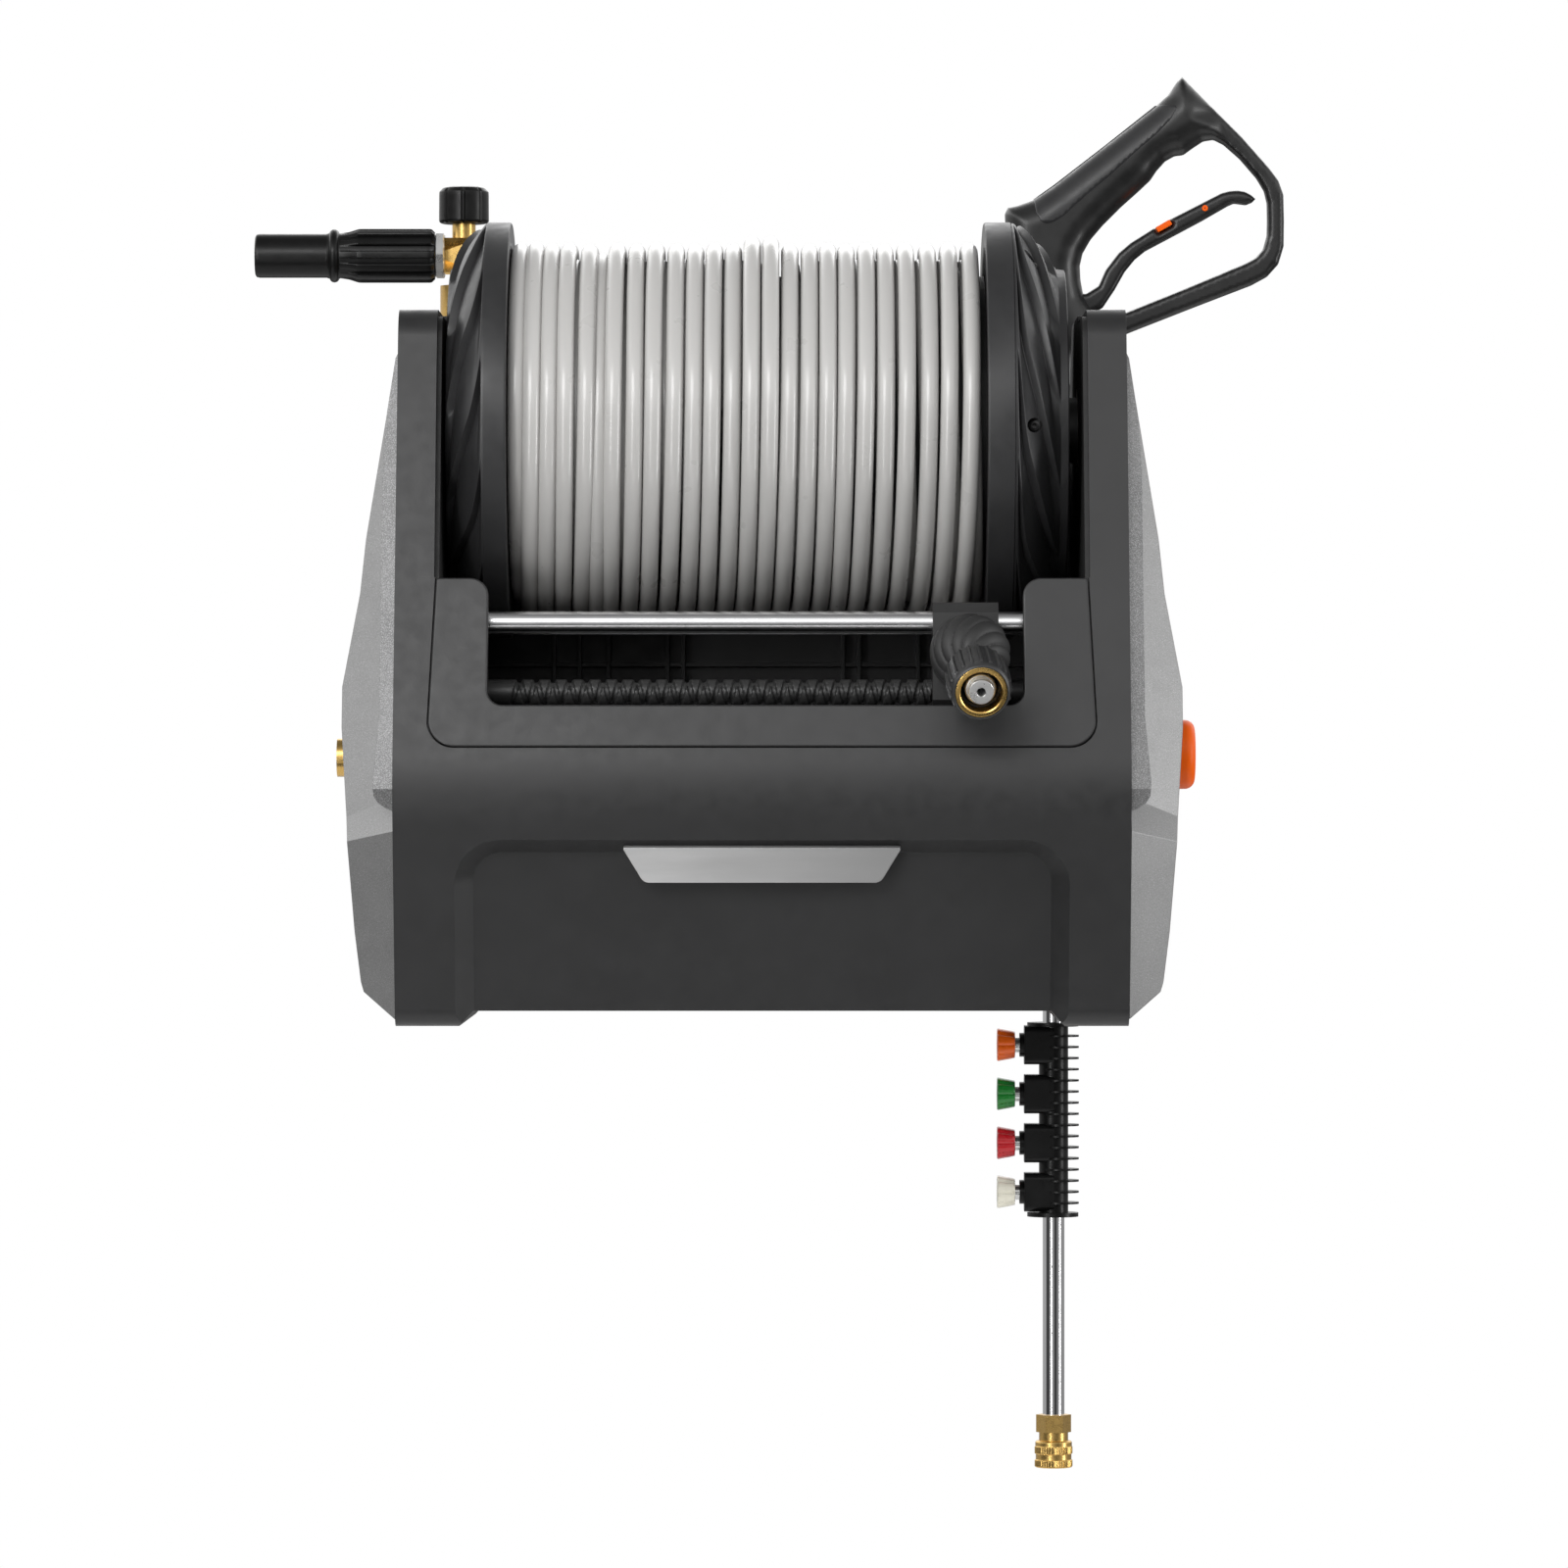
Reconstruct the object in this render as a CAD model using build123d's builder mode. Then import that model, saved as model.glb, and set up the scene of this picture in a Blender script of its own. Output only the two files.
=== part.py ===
from build123d import *
import os
from math import atan2, cos, degrees, hypot, pi, radians, sin, tan

# Wall mounted pressure washer with a spring-rewound hose reel.
# Millimetres. The origin is the centre of the wall bracket's screws, on the wall.
# +X is to the right, -Y is out from the wall towards the user, +Z is up.

os.makedirs("parts", exist_ok=True)

# ---------------------------------------------------------------- driving dimensions

FRAME_HALF = 218.0  # half width of the black frame
PLATE_IN, PLATE_OUT = 192.0, 196.0  # faces of each side plate
POST_IN = 194.6  # inner edge of each post
SHELL = 3.5  # moulded wall of the frame
TOP_Z = 213.0
APEX_Y = -388.0  # the front face's most forward line
APEX_Z = -75.0
TOP_FRONT_Y = -310.0
BOTTOM_Z = -216.0
BOTTOM_FRONT_Y = -352.0
BACK_Y = -78.0
SPLIT_Y = -230.0  # where the front frame meets the rear cover

DRUM_Y = -212.0
DRUM_Z = 144.0
FLANGE_R = 127.0
CORE_R = 94.0
HOSE_D = 10.7
WINDING_R = 114.3
WIND_LEFT = -153.0
WIND_RIGHT = 134.7
JOURNAL_R = 20.0
ARBOR_R = 12.0
RUN_FIT = 0.05  # radial clearance of a running fit
AIR = 0.3  # clearance between pieces that only pass each other

BAR_Y, BAR_Z, BAR_R = -330.0, 24.0, 7.0
SCREW_R = 8.0
SCREW_Z = -17.6
SCREW_JOURNAL_R = 6.0

MODULE = 1.6
DRUM_TEETH, IDLER_TEETH, SCREW_TEETH = 45, 79, 42
GEAR_X, GEAR_WIDTH = -208.0, 8.0
BACKLASH_SHARE = 0.42  # tooth thickness over pitch

GUIDE_X = 121.0
GUIDE_WIDTH = 39.0
BALL = Vector(123.0, -372.0, 5.0)
BALL_R = 24.0
OUT_DIR = Vector(0.07, -0.94, -0.33).normalized()

INLET_Y, INLET_Z = -230.0, -56.0
KNOB_Y, KNOB_Z, KNOB_R = -230.0, -54.0, 21.0

TOOL_Y = -45.0  # plane of the gun, the lance and the foam cannon, behind the body
LANCE_X = 183.5
LANCE_R = 6.85
FOAM_X, FOAM_Z = -189.4, 262.0

# distance from drum axis to screw axis along the gear train
TRAIN = MODULE * (DRUM_TEETH / 2 + IDLER_TEETH + SCREW_TEETH / 2)
SCREW_Y = DRUM_Y - (TRAIN**2 - (DRUM_Z - SCREW_Z) ** 2) ** 0.5
TRAIN_ANGLE = atan2(SCREW_Z - DRUM_Z, SCREW_Y - DRUM_Y)
IDLER_STEP = MODULE * (DRUM_TEETH + IDLER_TEETH) / 2
IDLER_Y = DRUM_Y + IDLER_STEP * cos(TRAIN_ANGLE)
IDLER_Z = DRUM_Z + IDLER_STEP * sin(TRAIN_ANGLE)

# the leaning upper front face: u runs up along it from the apex line
LEAN = hypot(TOP_FRONT_Y - APEX_Y, TOP_Z - APEX_Z)
FACE_OUT = Vector(0, -(TOP_Z - APEX_Z) / LEAN, (TOP_FRONT_Y - APEX_Y) / LEAN)
FRONT = Plane(origin=(0, APEX_Y, APEX_Z), x_dir=(1, 0, 0), z_dir=FACE_OUT)
# the lower front face, seen from inside: v runs down along it from the apex line
DROP = hypot(BOTTOM_FRONT_Y - APEX_Y, APEX_Z - BOTTOM_Z)
FACE_IN = Vector(0, (APEX_Z - BOTTOM_Z) / DROP, (BOTTOM_FRONT_Y - APEX_Y) / DROP)
LOWER = Plane(origin=(0, APEX_Y, APEX_Z), x_dir=(1, 0, 0), z_dir=FACE_IN)


def up_face(z):
    """Distance up the leaning front face to height z."""
    return (z - APEX_Z) * LEAN / (TOP_Z - APEX_Z)


def down_face(z):
    """Distance down the lower front face to height z."""
    return (APEX_Z - z) * DROP / (APEX_Z - BOTTOM_Z)


def along_x(x, y, z):
    """A plane facing +X whose own x is +Y and own y is +Z."""
    return Plane(origin=(x, y, z), x_dir=(0, 1, 0), z_dir=(1, 0, 0))


def along_z(x, y, z):
    return Plane(origin=(x, y, z))


def along_y(x, y, z):
    """A plane facing -Y, the way a user sees the front: own x is +X and own y is +Z."""
    return Plane(origin=(x, y, z), x_dir=(1, 0, 0), z_dir=(0, -1, 0))


def finish(piece, name):
    piece.part.label = name
    export_step(piece.part, f"parts/{name}.step")


# ---------------------------------------------------------------- shared profiles

SIDE_POINTS = [
    (TOP_FRONT_Y, TOP_Z),
    (APEX_Y, APEX_Z),
    (BOTTOM_FRONT_Y, BOTTOM_Z),
    (BACK_Y, BOTTOM_Z),
    (BACK_Y, 150),
    (-125, TOP_Z),
]
SIDE_RADII = [22, 90, 14, 20, 30, 30]


def rounded_face(plane, points, radii, inset=0.0):
    """A polygon on a plane with each corner rounded by its own radius, then inset."""
    with BuildSketch(plane) as sketch:
        with BuildLine():
            Polyline(*points, close=True)
        make_face()
        for point, radius in zip(points, radii):
            if radius:
                corner = sketch.vertices().sort_by_distance((*point, 0))
                fillet(corner[0], radius)
        if inset:
            offset(amount=-inset, kind=Kind.INTERSECTION)
    return sketch.sketch


def side_solid(half, inset=0.0, shift=0.0):
    """The side outline, inset and shifted back, as a solid across the width."""
    face = rounded_face(Plane.YZ.offset(-half), SIDE_POINTS, SIDE_RADII, inset)
    with BuildPart(mode=Mode.PRIVATE) as solid:
        extrude(face, amount=2 * half)
    return Pos(0, shift, 0) * solid.part


def box_between(low, high):
    """A box given by two opposite corners."""
    size = [b - a for a, b in zip(low, high)]
    middle = [(a + b) / 2 for a, b in zip(low, high)]
    return Pos(*middle) * Box(*size, mode=Mode.PRIVATE)


# ---------------------------------------------------------------- front frame and rear cover

BEZEL_TOP_HALF, BEZEL_LOW_HALF, BEZEL_BOTTOM, BEZEL_TOP = 193.4, 198.2, -50.0, 50.6
SLOT_LEFT, SLOT_RIGHT, SLOT_BOTTOM = -162.3, 154.7, -25.0
BEZEL_DEEP = 4.0
FRONT_WALL = 7.0
RECESS_HALF, RECESS_TOP, RECESS_DEEP, RECESS_TAPER = 182.0, -105.0, 12.0, 42.0
FLOOR_LIFT = 9.0  # the middle of the underside is higher than the two feet


def bezel_face(grow):
    """The U-shaped bezel's outline on the leaning face, with its corners rounded."""
    low, high = up_face(BEZEL_BOTTOM), up_face(BEZEL_TOP)
    slot = up_face(SLOT_BOTTOM)
    points = [
        (-BEZEL_TOP_HALF - grow, high + grow),
        (-BEZEL_LOW_HALF - grow, low - grow),
        (BEZEL_LOW_HALF + grow, low - grow),
        (BEZEL_TOP_HALF + grow, high + grow),
        (SLOT_RIGHT, high + grow),
        (SLOT_RIGHT, slot),
        (SLOT_LEFT, slot),
        (SLOT_LEFT, high + grow),
    ]
    return rounded_face(FRONT, points, [2, 16, 16, 2, 11, 9, 9, 11])


cavity = side_solid(FRAME_HALF + 1, SHELL) & side_solid(FRAME_HALF + 1, SHELL, FRONT_WALL - SHELL)
with BuildPart(mode=Mode.PRIVATE) as recess_backing:
    with BuildSketch(LOWER):
        with Locations((0, down_face(RECESS_TOP) + 100)):
            Rectangle(2 * RECESS_HALF + 10, 216)
    extrude(amount=RECESS_DEEP + 6)
floor_backing = box_between((-187, -400, BOTTOM_Z), (187, 0, BOTTOM_Z + FLOOR_LIFT + SHELL))
cavity = cavity - recess_backing.part - floor_backing

with BuildPart() as shell:
    add(side_solid(FRAME_HALF))
    add(cavity, mode=Mode.SUBTRACT)
    # the raised middle of the underside
    with BuildSketch(Plane.XZ):
        with BuildLine():
            Polyline(
                (-181, BOTTOM_Z - 1),
                (-172, BOTTOM_Z + FLOOR_LIFT),
                (172, BOTTOM_Z + FLOOR_LIFT),
                (181, BOTTOM_Z - 1),
                close=True,
            )
        make_face()
    extrude(amount=400, mode=Mode.SUBTRACT)

# the name plate's outline: a trapezoid with its lower corners rounded
PLATE_TOP, PLATE_LOW = -109.7, -130.5
plate_points = [
    (-82.6, down_face(PLATE_TOP)),
    (82.6, down_face(PLATE_TOP)),
    (70.0, down_face(PLATE_LOW)),
    (-70.0, down_face(PLATE_LOW)),
]
plate_face = rounded_face(LOWER, plate_points, [1, 1, 6, 6])

with BuildPart() as front_frame:
    add(shell.part)
    split(bisect_by=Plane(origin=(0, SPLIT_Y, 0), z_dir=(0, -1, 0)), keep=Keep.TOP)
    # the reel stands open between the posts, above the hose slot
    ledge = up_face(BEZEL_TOP)
    opening_points = [
        (-POST_IN, ledge + 400),
        (-POST_IN, ledge),
        (SLOT_LEFT, ledge),
        (SLOT_LEFT, up_face(SLOT_BOTTOM)),
        (SLOT_RIGHT, up_face(SLOT_BOTTOM)),
        (SLOT_RIGHT, ledge),
        (POST_IN, ledge),
        (POST_IN, ledge + 400),
    ]
    opening = rounded_face(FRONT, opening_points, [0, 0, 11, 9, 9, 11, 0, 0])
    extrude(opening, amount=20, both=True, mode=Mode.SUBTRACT)
    with BuildSketch(FRONT):
        with Locations((0, ledge + 200)):
            Rectangle(2 * POST_IN, 400)
    extrude(amount=-300, mode=Mode.SUBTRACT)
    # pocket for the bezel
    extrude(bezel_face(0.6), amount=-BEZEL_DEEP, mode=Mode.SUBTRACT)
    # recessed panel under the apex line, with sloped sides
    recess_depth = down_face(RECESS_TOP)
    recess_points = [
        (-RECESS_HALF, recess_depth),
        (RECESS_HALF, recess_depth),
        (RECESS_HALF, 320),
        (-RECESS_HALF, 320),
    ]
    extrude(
        rounded_face(LOWER, recess_points, [28, 28, 0, 0]),
        amount=RECESS_DEEP,
        taper=RECESS_TAPER,
        mode=Mode.SUBTRACT,
    )
    extrude(plate_face, amount=RECESS_DEEP, mode=Mode.SUBTRACT)
finish(front_frame, "front_frame")

REAR_TOP = 138.0  # the rear wall stops here between the side plates, behind the reel
with BuildPart() as rear_cover:
    add(shell.part)
    split(bisect_by=Plane(origin=(0, SPLIT_Y, 0), z_dir=(0, -1, 0)), keep=Keep.BOTTOM)
    add(box_between((-PLATE_IN, -400, REAR_TOP), (PLATE_IN, 0, 300)), mode=Mode.SUBTRACT)
    # stiffening ribs on the inside of the rear wall
    for x in (-131, -115, -97, -60, -50, 50, 60, 97, 115, 131):
        with BuildSketch(Plane.XY.offset(-200)):
            with Locations((x, BACK_Y - SHELL - 5)):
                Rectangle(2.5, 10)
        extrude(amount=250)
    with BuildSketch(Plane.XY.offset(1.5)):
        with Locations((0, BACK_Y - SHELL - 4)):
            Rectangle(2 * PLATE_IN - 1, 8)
    extrude(amount=2.5)
finish(rear_cover, "rear_cover")

with BuildPart() as front_bezel:
    extrude(bezel_face(0), amount=-BEZEL_DEEP)
    rim = front_bezel.faces().sort_by_distance(FRONT.from_local_coords((0, up_face(-40), 0)))[0]
    chamfer(rim.outer_wire().edges(), 0.8)
finish(front_bezel, "front_bezel")

# name plate: blank, in the recess's top edge
with BuildPart() as name_plate:
    extrude(plate_face, amount=RECESS_DEEP)
finish(name_plate, "name_plate")

# ---------------------------------------------------------------- side plates

PIPE_Y, PIPE_Z = -130.0, -60.0  # where the water pipes pass the side plates
BUSH_R = 10.0
BEARING_R = 26.0
IDLER_BOSS_R = 8.0


def side_plate(sign):
    """A side plate with its holes for the drum bearing, the guide bar, the screw and a pipe."""
    outline = side_solid(PLATE_OUT, SHELL + 0.3) & side_solid(PLATE_OUT, SHELL + 0.3, FRONT_WALL - SHELL)
    near, far = sorted((sign * PLATE_IN, sign * PLATE_OUT))
    with BuildPart(mode=Mode.PRIVATE) as plate:
        add(outline & box_between((near, -400, -300), (far, 0, 300)))
        holes = (
            (DRUM_Y, DRUM_Z, BEARING_R),
            (BAR_Y, BAR_Z, BAR_R),
            (SCREW_Y, SCREW_Z, BUSH_R),
            (PIPE_Y, PIPE_Z, 7.5),
        )
        for y, z, radius in holes:
            with BuildSketch(along_x(near, y, z)):
                Circle(radius)
            extrude(amount=PLATE_OUT - PLATE_IN, mode=Mode.SUBTRACT)
    return plate.part


with BuildPart() as left_side_plate:
    add(side_plate(-1))
    # boss that the idler gear turns on
    with BuildSketch(along_x(-PLATE_OUT, IDLER_Y, IDLER_Z)):
        Circle(IDLER_BOSS_R)
    extrude(amount=-14)
finish(left_side_plate, "left_side_plate")

with BuildPart() as right_side_plate:
    add(side_plate(1))
finish(right_side_plate, "right_side_plate")

# ---------------------------------------------------------------- side covers and trims

COVER_BASE, COVER_MAX = 218.3, 251.6
COVER_WALL = 3.0
COVER_TAPER = 40.0
STEP_Z = -80.0


def front_y(z):
    """The frame's front face at height z, before its corners are rounded."""
    if z > APEX_Z:
        return APEX_Y + (z - APEX_Z) * (TOP_FRONT_Y - APEX_Y) / (TOP_Z - APEX_Z)
    return APEX_Y + (APEX_Z - z) * (BOTTOM_FRONT_Y - APEX_Y) / (APEX_Z - BOTTOM_Z)


COVER_SIDE = [
    (-118, 186),
    (front_y(186) + 29, 186),
    (front_y(STEP_Z) + 29, STEP_Z),
    (front_y(STEP_Z - 20) + 7, STEP_Z - 20),
    (front_y(-212) + 7, -212),
    (-84, -212),
    (-84, 136),
]
COVER_FRONT = [
    (COVER_BASE, 186),
    (221, 181),
    (228.7, 133),
    (237.9, 75),
    (241.2, 42),
    (COVER_MAX, -14),
    (COVER_MAX, -38),
    (249.2, -72),
    (242.7, -160),
    (239.2, -190),
    (236, -201),
    (226.5, -208),
    (COVER_BASE, -212),
]


def cover_block(inset):
    """The outer form of a right-hand cover, or the same form one wall smaller."""
    with BuildPart(mode=Mode.PRIVATE) as block:
        with BuildSketch(Plane.YZ.offset(COVER_BASE)):
            with BuildLine():
                Polyline(*COVER_SIDE, close=True)
            make_face()
            if inset:
                offset(amount=-inset, kind=Kind.INTERSECTION)
        extrude(amount=COVER_MAX - COVER_BASE + 1, taper=COVER_TAPER)
        with BuildSketch(Plane.XZ):
            with BuildLine():
                Polyline((COVER_BASE - 20, 186), *COVER_FRONT, (COVER_BASE - 20, -214), close=True)
            make_face()
            if inset:
                offset(amount=-inset, kind=Kind.INTERSECTION)
        extrude(amount=450, mode=Mode.INTERSECT)
    return block.part


with BuildPart() as right_cover:
    add(cover_block(0))
    add(cover_block(COVER_WALL), mode=Mode.SUBTRACT)
    with BuildSketch(along_x(COVER_BASE, KNOB_Y, KNOB_Z)):
        Circle(KNOB_R + 0.5)
    extrude(amount=60, mode=Mode.SUBTRACT)
finish(right_cover, "right_cover")

with BuildPart() as left_cover:
    add(mirror(cover_block(0), Plane.YZ))
    add(mirror(cover_block(COVER_WALL), Plane.YZ), mode=Mode.SUBTRACT)
    with BuildSketch(along_x(-COVER_BASE, INLET_Y, INLET_Z)):
        Circle(12.6)
    extrude(amount=-60, mode=Mode.SUBTRACT)
finish(left_cover, "left_cover")

TRIM_LOW, TRIM_HIGH, TRIM_WIDE, TRIM_OUT = -88.0, 186.0, 24.0, 230.0
# the trim seen from the front: narrow at the top, flared at the bottom
TRIM_FRONT = [
    (FRAME_HALF, TRIM_HIGH),
    (219.5, 183),
    (224.3, 150),
    (226.6, 115),
    (226.6, -32),
    (TRIM_OUT, -71),
    (229.4, -79),
    (227, -83),
    (220, TRIM_LOW),
    (FRAME_HALF, TRIM_LOW),
]
with BuildPart() as edge_trims:
    with BuildSketch(Plane.YZ.offset(FRAME_HALF)):
        with BuildLine():
            Polyline(
                (front_y(TRIM_LOW) + 5, TRIM_LOW),
                (front_y(APEX_Z) + 4, APEX_Z),
                (front_y(TRIM_HIGH) + 4, TRIM_HIGH),
                (front_y(TRIM_HIGH) + 4 + TRIM_WIDE, TRIM_HIGH),
                (front_y(APEX_Z) + 4 + TRIM_WIDE, APEX_Z + 2),
                (front_y(TRIM_LOW) + 14, TRIM_LOW),
                close=True,
            )
        make_face()
    extrude(amount=TRIM_OUT - FRAME_HALF, taper=20)
    with BuildSketch(Plane.XZ):
        with BuildLine():
            Polyline(*TRIM_FRONT, close=True)
        make_face()
    extrude(amount=450, mode=Mode.INTERSECT)
    mirror(about=Plane.YZ)
finish(edge_trims, "edge_trims")

# ---------------------------------------------------------------- reel: flanges, core, spring


def turned(points):
    """A solid turned about the drum's axis from (x, radius) points."""
    with BuildPart(mode=Mode.PRIVATE) as solid:
        with BuildSketch(Plane(origin=(0, DRUM_Y, DRUM_Z), x_dir=(1, 0, 0), z_dir=(0, -1, 0))):
            with BuildLine():
                Polyline(*points, close=True)
            make_face()
        revolve(axis=Axis((0, DRUM_Y, DRUM_Z), (1, 0, 0)))
    return solid.part


SWIVEL_R = 8.0
RIGHT_RIM = 151.4
with BuildPart() as right_flange:
    right_profile = [
        (WIND_RIGHT, CORE_R + 0.3),
        (WIND_RIGHT, FLANGE_R - 1.5),
        (WIND_RIGHT + 1.5, FLANGE_R),
        (RIGHT_RIM, FLANGE_R),
        (RIGHT_RIM + 0.6, FLANGE_R - 1.2),
        (158, 124.5),
        (166, 118),
        (173, 109),
        (179, 98.5),
        (188, 98),
        (188, 93),
        (183.5, 92),
        (183.5, JOURNAL_R),
        (200, JOURNAL_R),
        (200, SWIVEL_R),
        (180, SWIVEL_R),
        (180, 90),
        (171, 104),
        (163, 114),
        (155, 120.5),
        (149, 122.5),
        (WIND_RIGHT + 4, 122.5),
        (WIND_RIGHT + 4, CORE_R + 0.3),
    ]
    add(turned(right_profile))
finish(right_flange, "right_flange")

LEFT_RIM = -167.0
with BuildPart() as left_flange:
    left_profile = [
        (WIND_LEFT, CORE_R + 0.3),
        (WIND_LEFT, FLANGE_R - 1.5),
        (WIND_LEFT - 1.5, FLANGE_R),
        (LEFT_RIM, FLANGE_R),
        (LEFT_RIM - 0.6, FLANGE_R - 1.2),
        (-174, 123.5),
        (-181, 116.5),
        (-186.5, 108),
        (-190, 98),
        (-190, JOURNAL_R),
        (-209, JOURNAL_R),
        (-209, ARBOR_R + 2),
        (-186.5, ARBOR_R + 2),
        (-186.5, 94),
        (-183, 104),
        (-178, 112),
        (-171.5, 119),
        (-165, 122.5),
        (WIND_LEFT - 4, 122.5),
        (WIND_LEFT - 4, CORE_R + 0.3),
    ]
    add(turned(left_profile))
finish(left_flange, "left_flange")

with BuildPart() as flange_screws:
    for turn in range(6):
        angle = radians(93 - 60 * turn)
        spot = (159.0, DRUM_Y + 112 * cos(angle), DRUM_Z + 112 * sin(angle))
        with BuildSketch(along_x(*spot)):
            Circle(2.4)
        extrude(amount=-20)
    add(right_flange.part, mode=Mode.SUBTRACT)
finish(flange_screws, "flange_screws")

WEB_X = -96.0
with BuildPart() as drum_core:
    core_profile = [
        (WIND_LEFT - 4, CORE_R),
        (WIND_RIGHT + 4, CORE_R),
        (WIND_RIGHT + 4, CORE_R - 4),
        (WEB_X + 4, CORE_R - 4),
        (WEB_X + 4, 20),
        (WEB_X + 16, 20),
        (WEB_X + 16, ARBOR_R + RUN_FIT),
        (WEB_X, ARBOR_R + RUN_FIT),
        (WEB_X, CORE_R - 4),
        (WIND_LEFT - 4, CORE_R - 4),
    ]
    add(turned(core_profile))
finish(drum_core, "drum_core")

with BuildPart() as hose_winding:
    winding_profile = [
        (WIND_LEFT + AIR, CORE_R + 0.2),
        (WIND_LEFT + AIR, WINDING_R),
        (WIND_RIGHT - AIR, WINDING_R),
        (WIND_RIGHT - AIR, CORE_R + 0.2),
    ]
    add(turned(winding_profile))
finish(hose_winding, "hose_winding")

SPRING_TURNS, SPRING_STEPS = 9, 20
SPRING_INNER, SPRING_OUTER, SPRING_THICK = 17.0, 86.0, 1.4
with BuildPart() as mainspring:
    with BuildSketch(along_x(-140, DRUM_Y, DRUM_Z)):
        count = SPRING_TURNS * SPRING_STEPS
        rise = (SPRING_OUTER - SPRING_INNER) / count
        inner, outer = [], []
        for step in range(count + 1):
            angle = 2 * pi * step / SPRING_STEPS
            radius = SPRING_INNER + rise * step
            inner.append((radius * cos(angle), radius * sin(angle)))
            radius += SPRING_THICK
            outer.append((radius * cos(angle), radius * sin(angle)))
        with BuildLine():
            Polyline(*inner, *reversed(outer), close=True)
        make_face()
    extrude(amount=36)
finish(mainspring, "mainspring")

BRACKET_X = -216.0
with BuildPart() as arbor:
    with BuildSketch(along_x(BRACKET_X, DRUM_Y, DRUM_Z)):
        Circle(ARBOR_R)
    extrude(amount=140)
    with BuildSketch(along_x(-142, DRUM_Y, DRUM_Z)):
        Rectangle(2 * ARBOR_R, 2)
    extrude(amount=40, mode=Mode.SUBTRACT)
finish(arbor, "arbor")

LEG_REACH = 50.0
with BuildPart() as arbor_bracket:
    with BuildSketch(along_x(BRACKET_X, DRUM_Y, DRUM_Z)):
        SlotCenterToCenter(2 * LEG_REACH, 18, rotation=degrees(TRAIN_ANGLE) - 90)
        Circle(17)
        Circle(ARBOR_R, mode=Mode.SUBTRACT)
    extrude(amount=4)
    for sign in (-1, 1):
        leg_y = DRUM_Y + sign * LEG_REACH * sin(TRAIN_ANGLE)
        leg_z = DRUM_Z - sign * LEG_REACH * cos(TRAIN_ANGLE)
        with BuildSketch(along_x(BRACKET_X, leg_y, leg_z)):
            Circle(7)
        extrude(amount=-PLATE_OUT - BRACKET_X)
finish(arbor_bracket, "arbor_bracket")

with BuildPart() as drum_bearings:
    for start in (-PLATE_OUT, PLATE_IN):
        with BuildSketch(along_x(start, DRUM_Y, DRUM_Z)):
            Circle(BEARING_R)
            Circle(JOURNAL_R + RUN_FIT, mode=Mode.SUBTRACT)
        extrude(amount=PLATE_OUT - PLATE_IN)
finish(drum_bearings, "drum_bearings")

# ---------------------------------------------------------------- gear train and lead screw


def gear_face(plane, teeth, middle, bore):
    """A spur gear with straight-flanked teeth, one of them centred on the angle middle."""
    pitch_r = MODULE * teeth / 2
    half = pi * MODULE * BACKLASH_SHARE / 2
    slope = tan(radians(20))
    root, tip = pitch_r - 1.15 * MODULE, pitch_r + 0.8 * MODULE
    root_half = (half + 1.15 * MODULE * slope) / root
    tip_half = (half - 0.8 * MODULE * slope) / tip
    points = []
    for tooth in range(teeth):
        centre = middle + 2 * pi * tooth / teeth
        for radius, turn in ((root, -root_half), (tip, -tip_half), (tip, tip_half), (root, root_half)):
            points.append((radius * cos(centre + turn), radius * sin(centre + turn)))
    with BuildSketch(plane) as sketch:
        with BuildLine():
            Polyline(*points, close=True)
        make_face()
        Circle(bore, mode=Mode.SUBTRACT)
    return sketch.sketch


with BuildPart() as drum_gear:
    extrude(
        gear_face(along_x(GEAR_X, DRUM_Y, DRUM_Z), DRUM_TEETH, TRAIN_ANGLE, JOURNAL_R),
        amount=GEAR_WIDTH,
    )
finish(drum_gear, "drum_gear")

idler_plane = along_x(GEAR_X, IDLER_Y, IDLER_Z)
with BuildPart() as idler_gear:
    # a gap faces the drum gear; with an odd number of teeth a tooth then faces the screw gear
    extrude(
        gear_face(idler_plane, IDLER_TEETH, TRAIN_ANGLE, IDLER_BOSS_R + RUN_FIT),
        amount=GEAR_WIDTH,
    )
    with BuildSketch(idler_plane):
        with PolarLocations(36, 6):
            Circle(12)
    extrude(amount=GEAR_WIDTH, mode=Mode.SUBTRACT)
finish(idler_gear, "idler_gear")

with BuildPart() as screw_gear:
    half_tooth = pi / SCREW_TEETH
    extrude(
        gear_face(
            along_x(GEAR_X, SCREW_Y, SCREW_Z),
            SCREW_TEETH,
            TRAIN_ANGLE + pi + half_tooth,
            SCREW_JOURNAL_R,
        ),
        amount=GEAR_WIDTH,
    )
finish(screw_gear, "screw_gear")

SCREW_HALF = 186.0
with BuildPart() as lead_screw:
    with BuildSketch(along_x(-SCREW_HALF, SCREW_Y, SCREW_Z)):
        Circle(SCREW_R)
    extrude(amount=2 * SCREW_HALF)
    with BuildSketch(along_x(GEAR_X - 2, SCREW_Y, SCREW_Z)):
        Circle(SCREW_JOURNAL_R)
    extrude(amount=PLATE_OUT - GEAR_X + 2)
finish(lead_screw, "lead_screw")

with BuildPart() as screw_bushes:
    for start in (-PLATE_OUT - 1, PLATE_IN - 1):
        with BuildSketch(along_x(start, SCREW_Y, SCREW_Z)):
            Circle(BUSH_R)
            Circle(SCREW_JOURNAL_R + RUN_FIT, mode=Mode.SUBTRACT)
        extrude(amount=PLATE_OUT - PLATE_IN + 2)
finish(screw_bushes, "screw_bushes")

with BuildPart() as guide_bar:
    with BuildSketch(along_x(-PLATE_OUT, BAR_Y, BAR_Z)):
        Circle(BAR_R)
    extrude(amount=2 * PLATE_OUT)
finish(guide_bar, "guide_bar")

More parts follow.
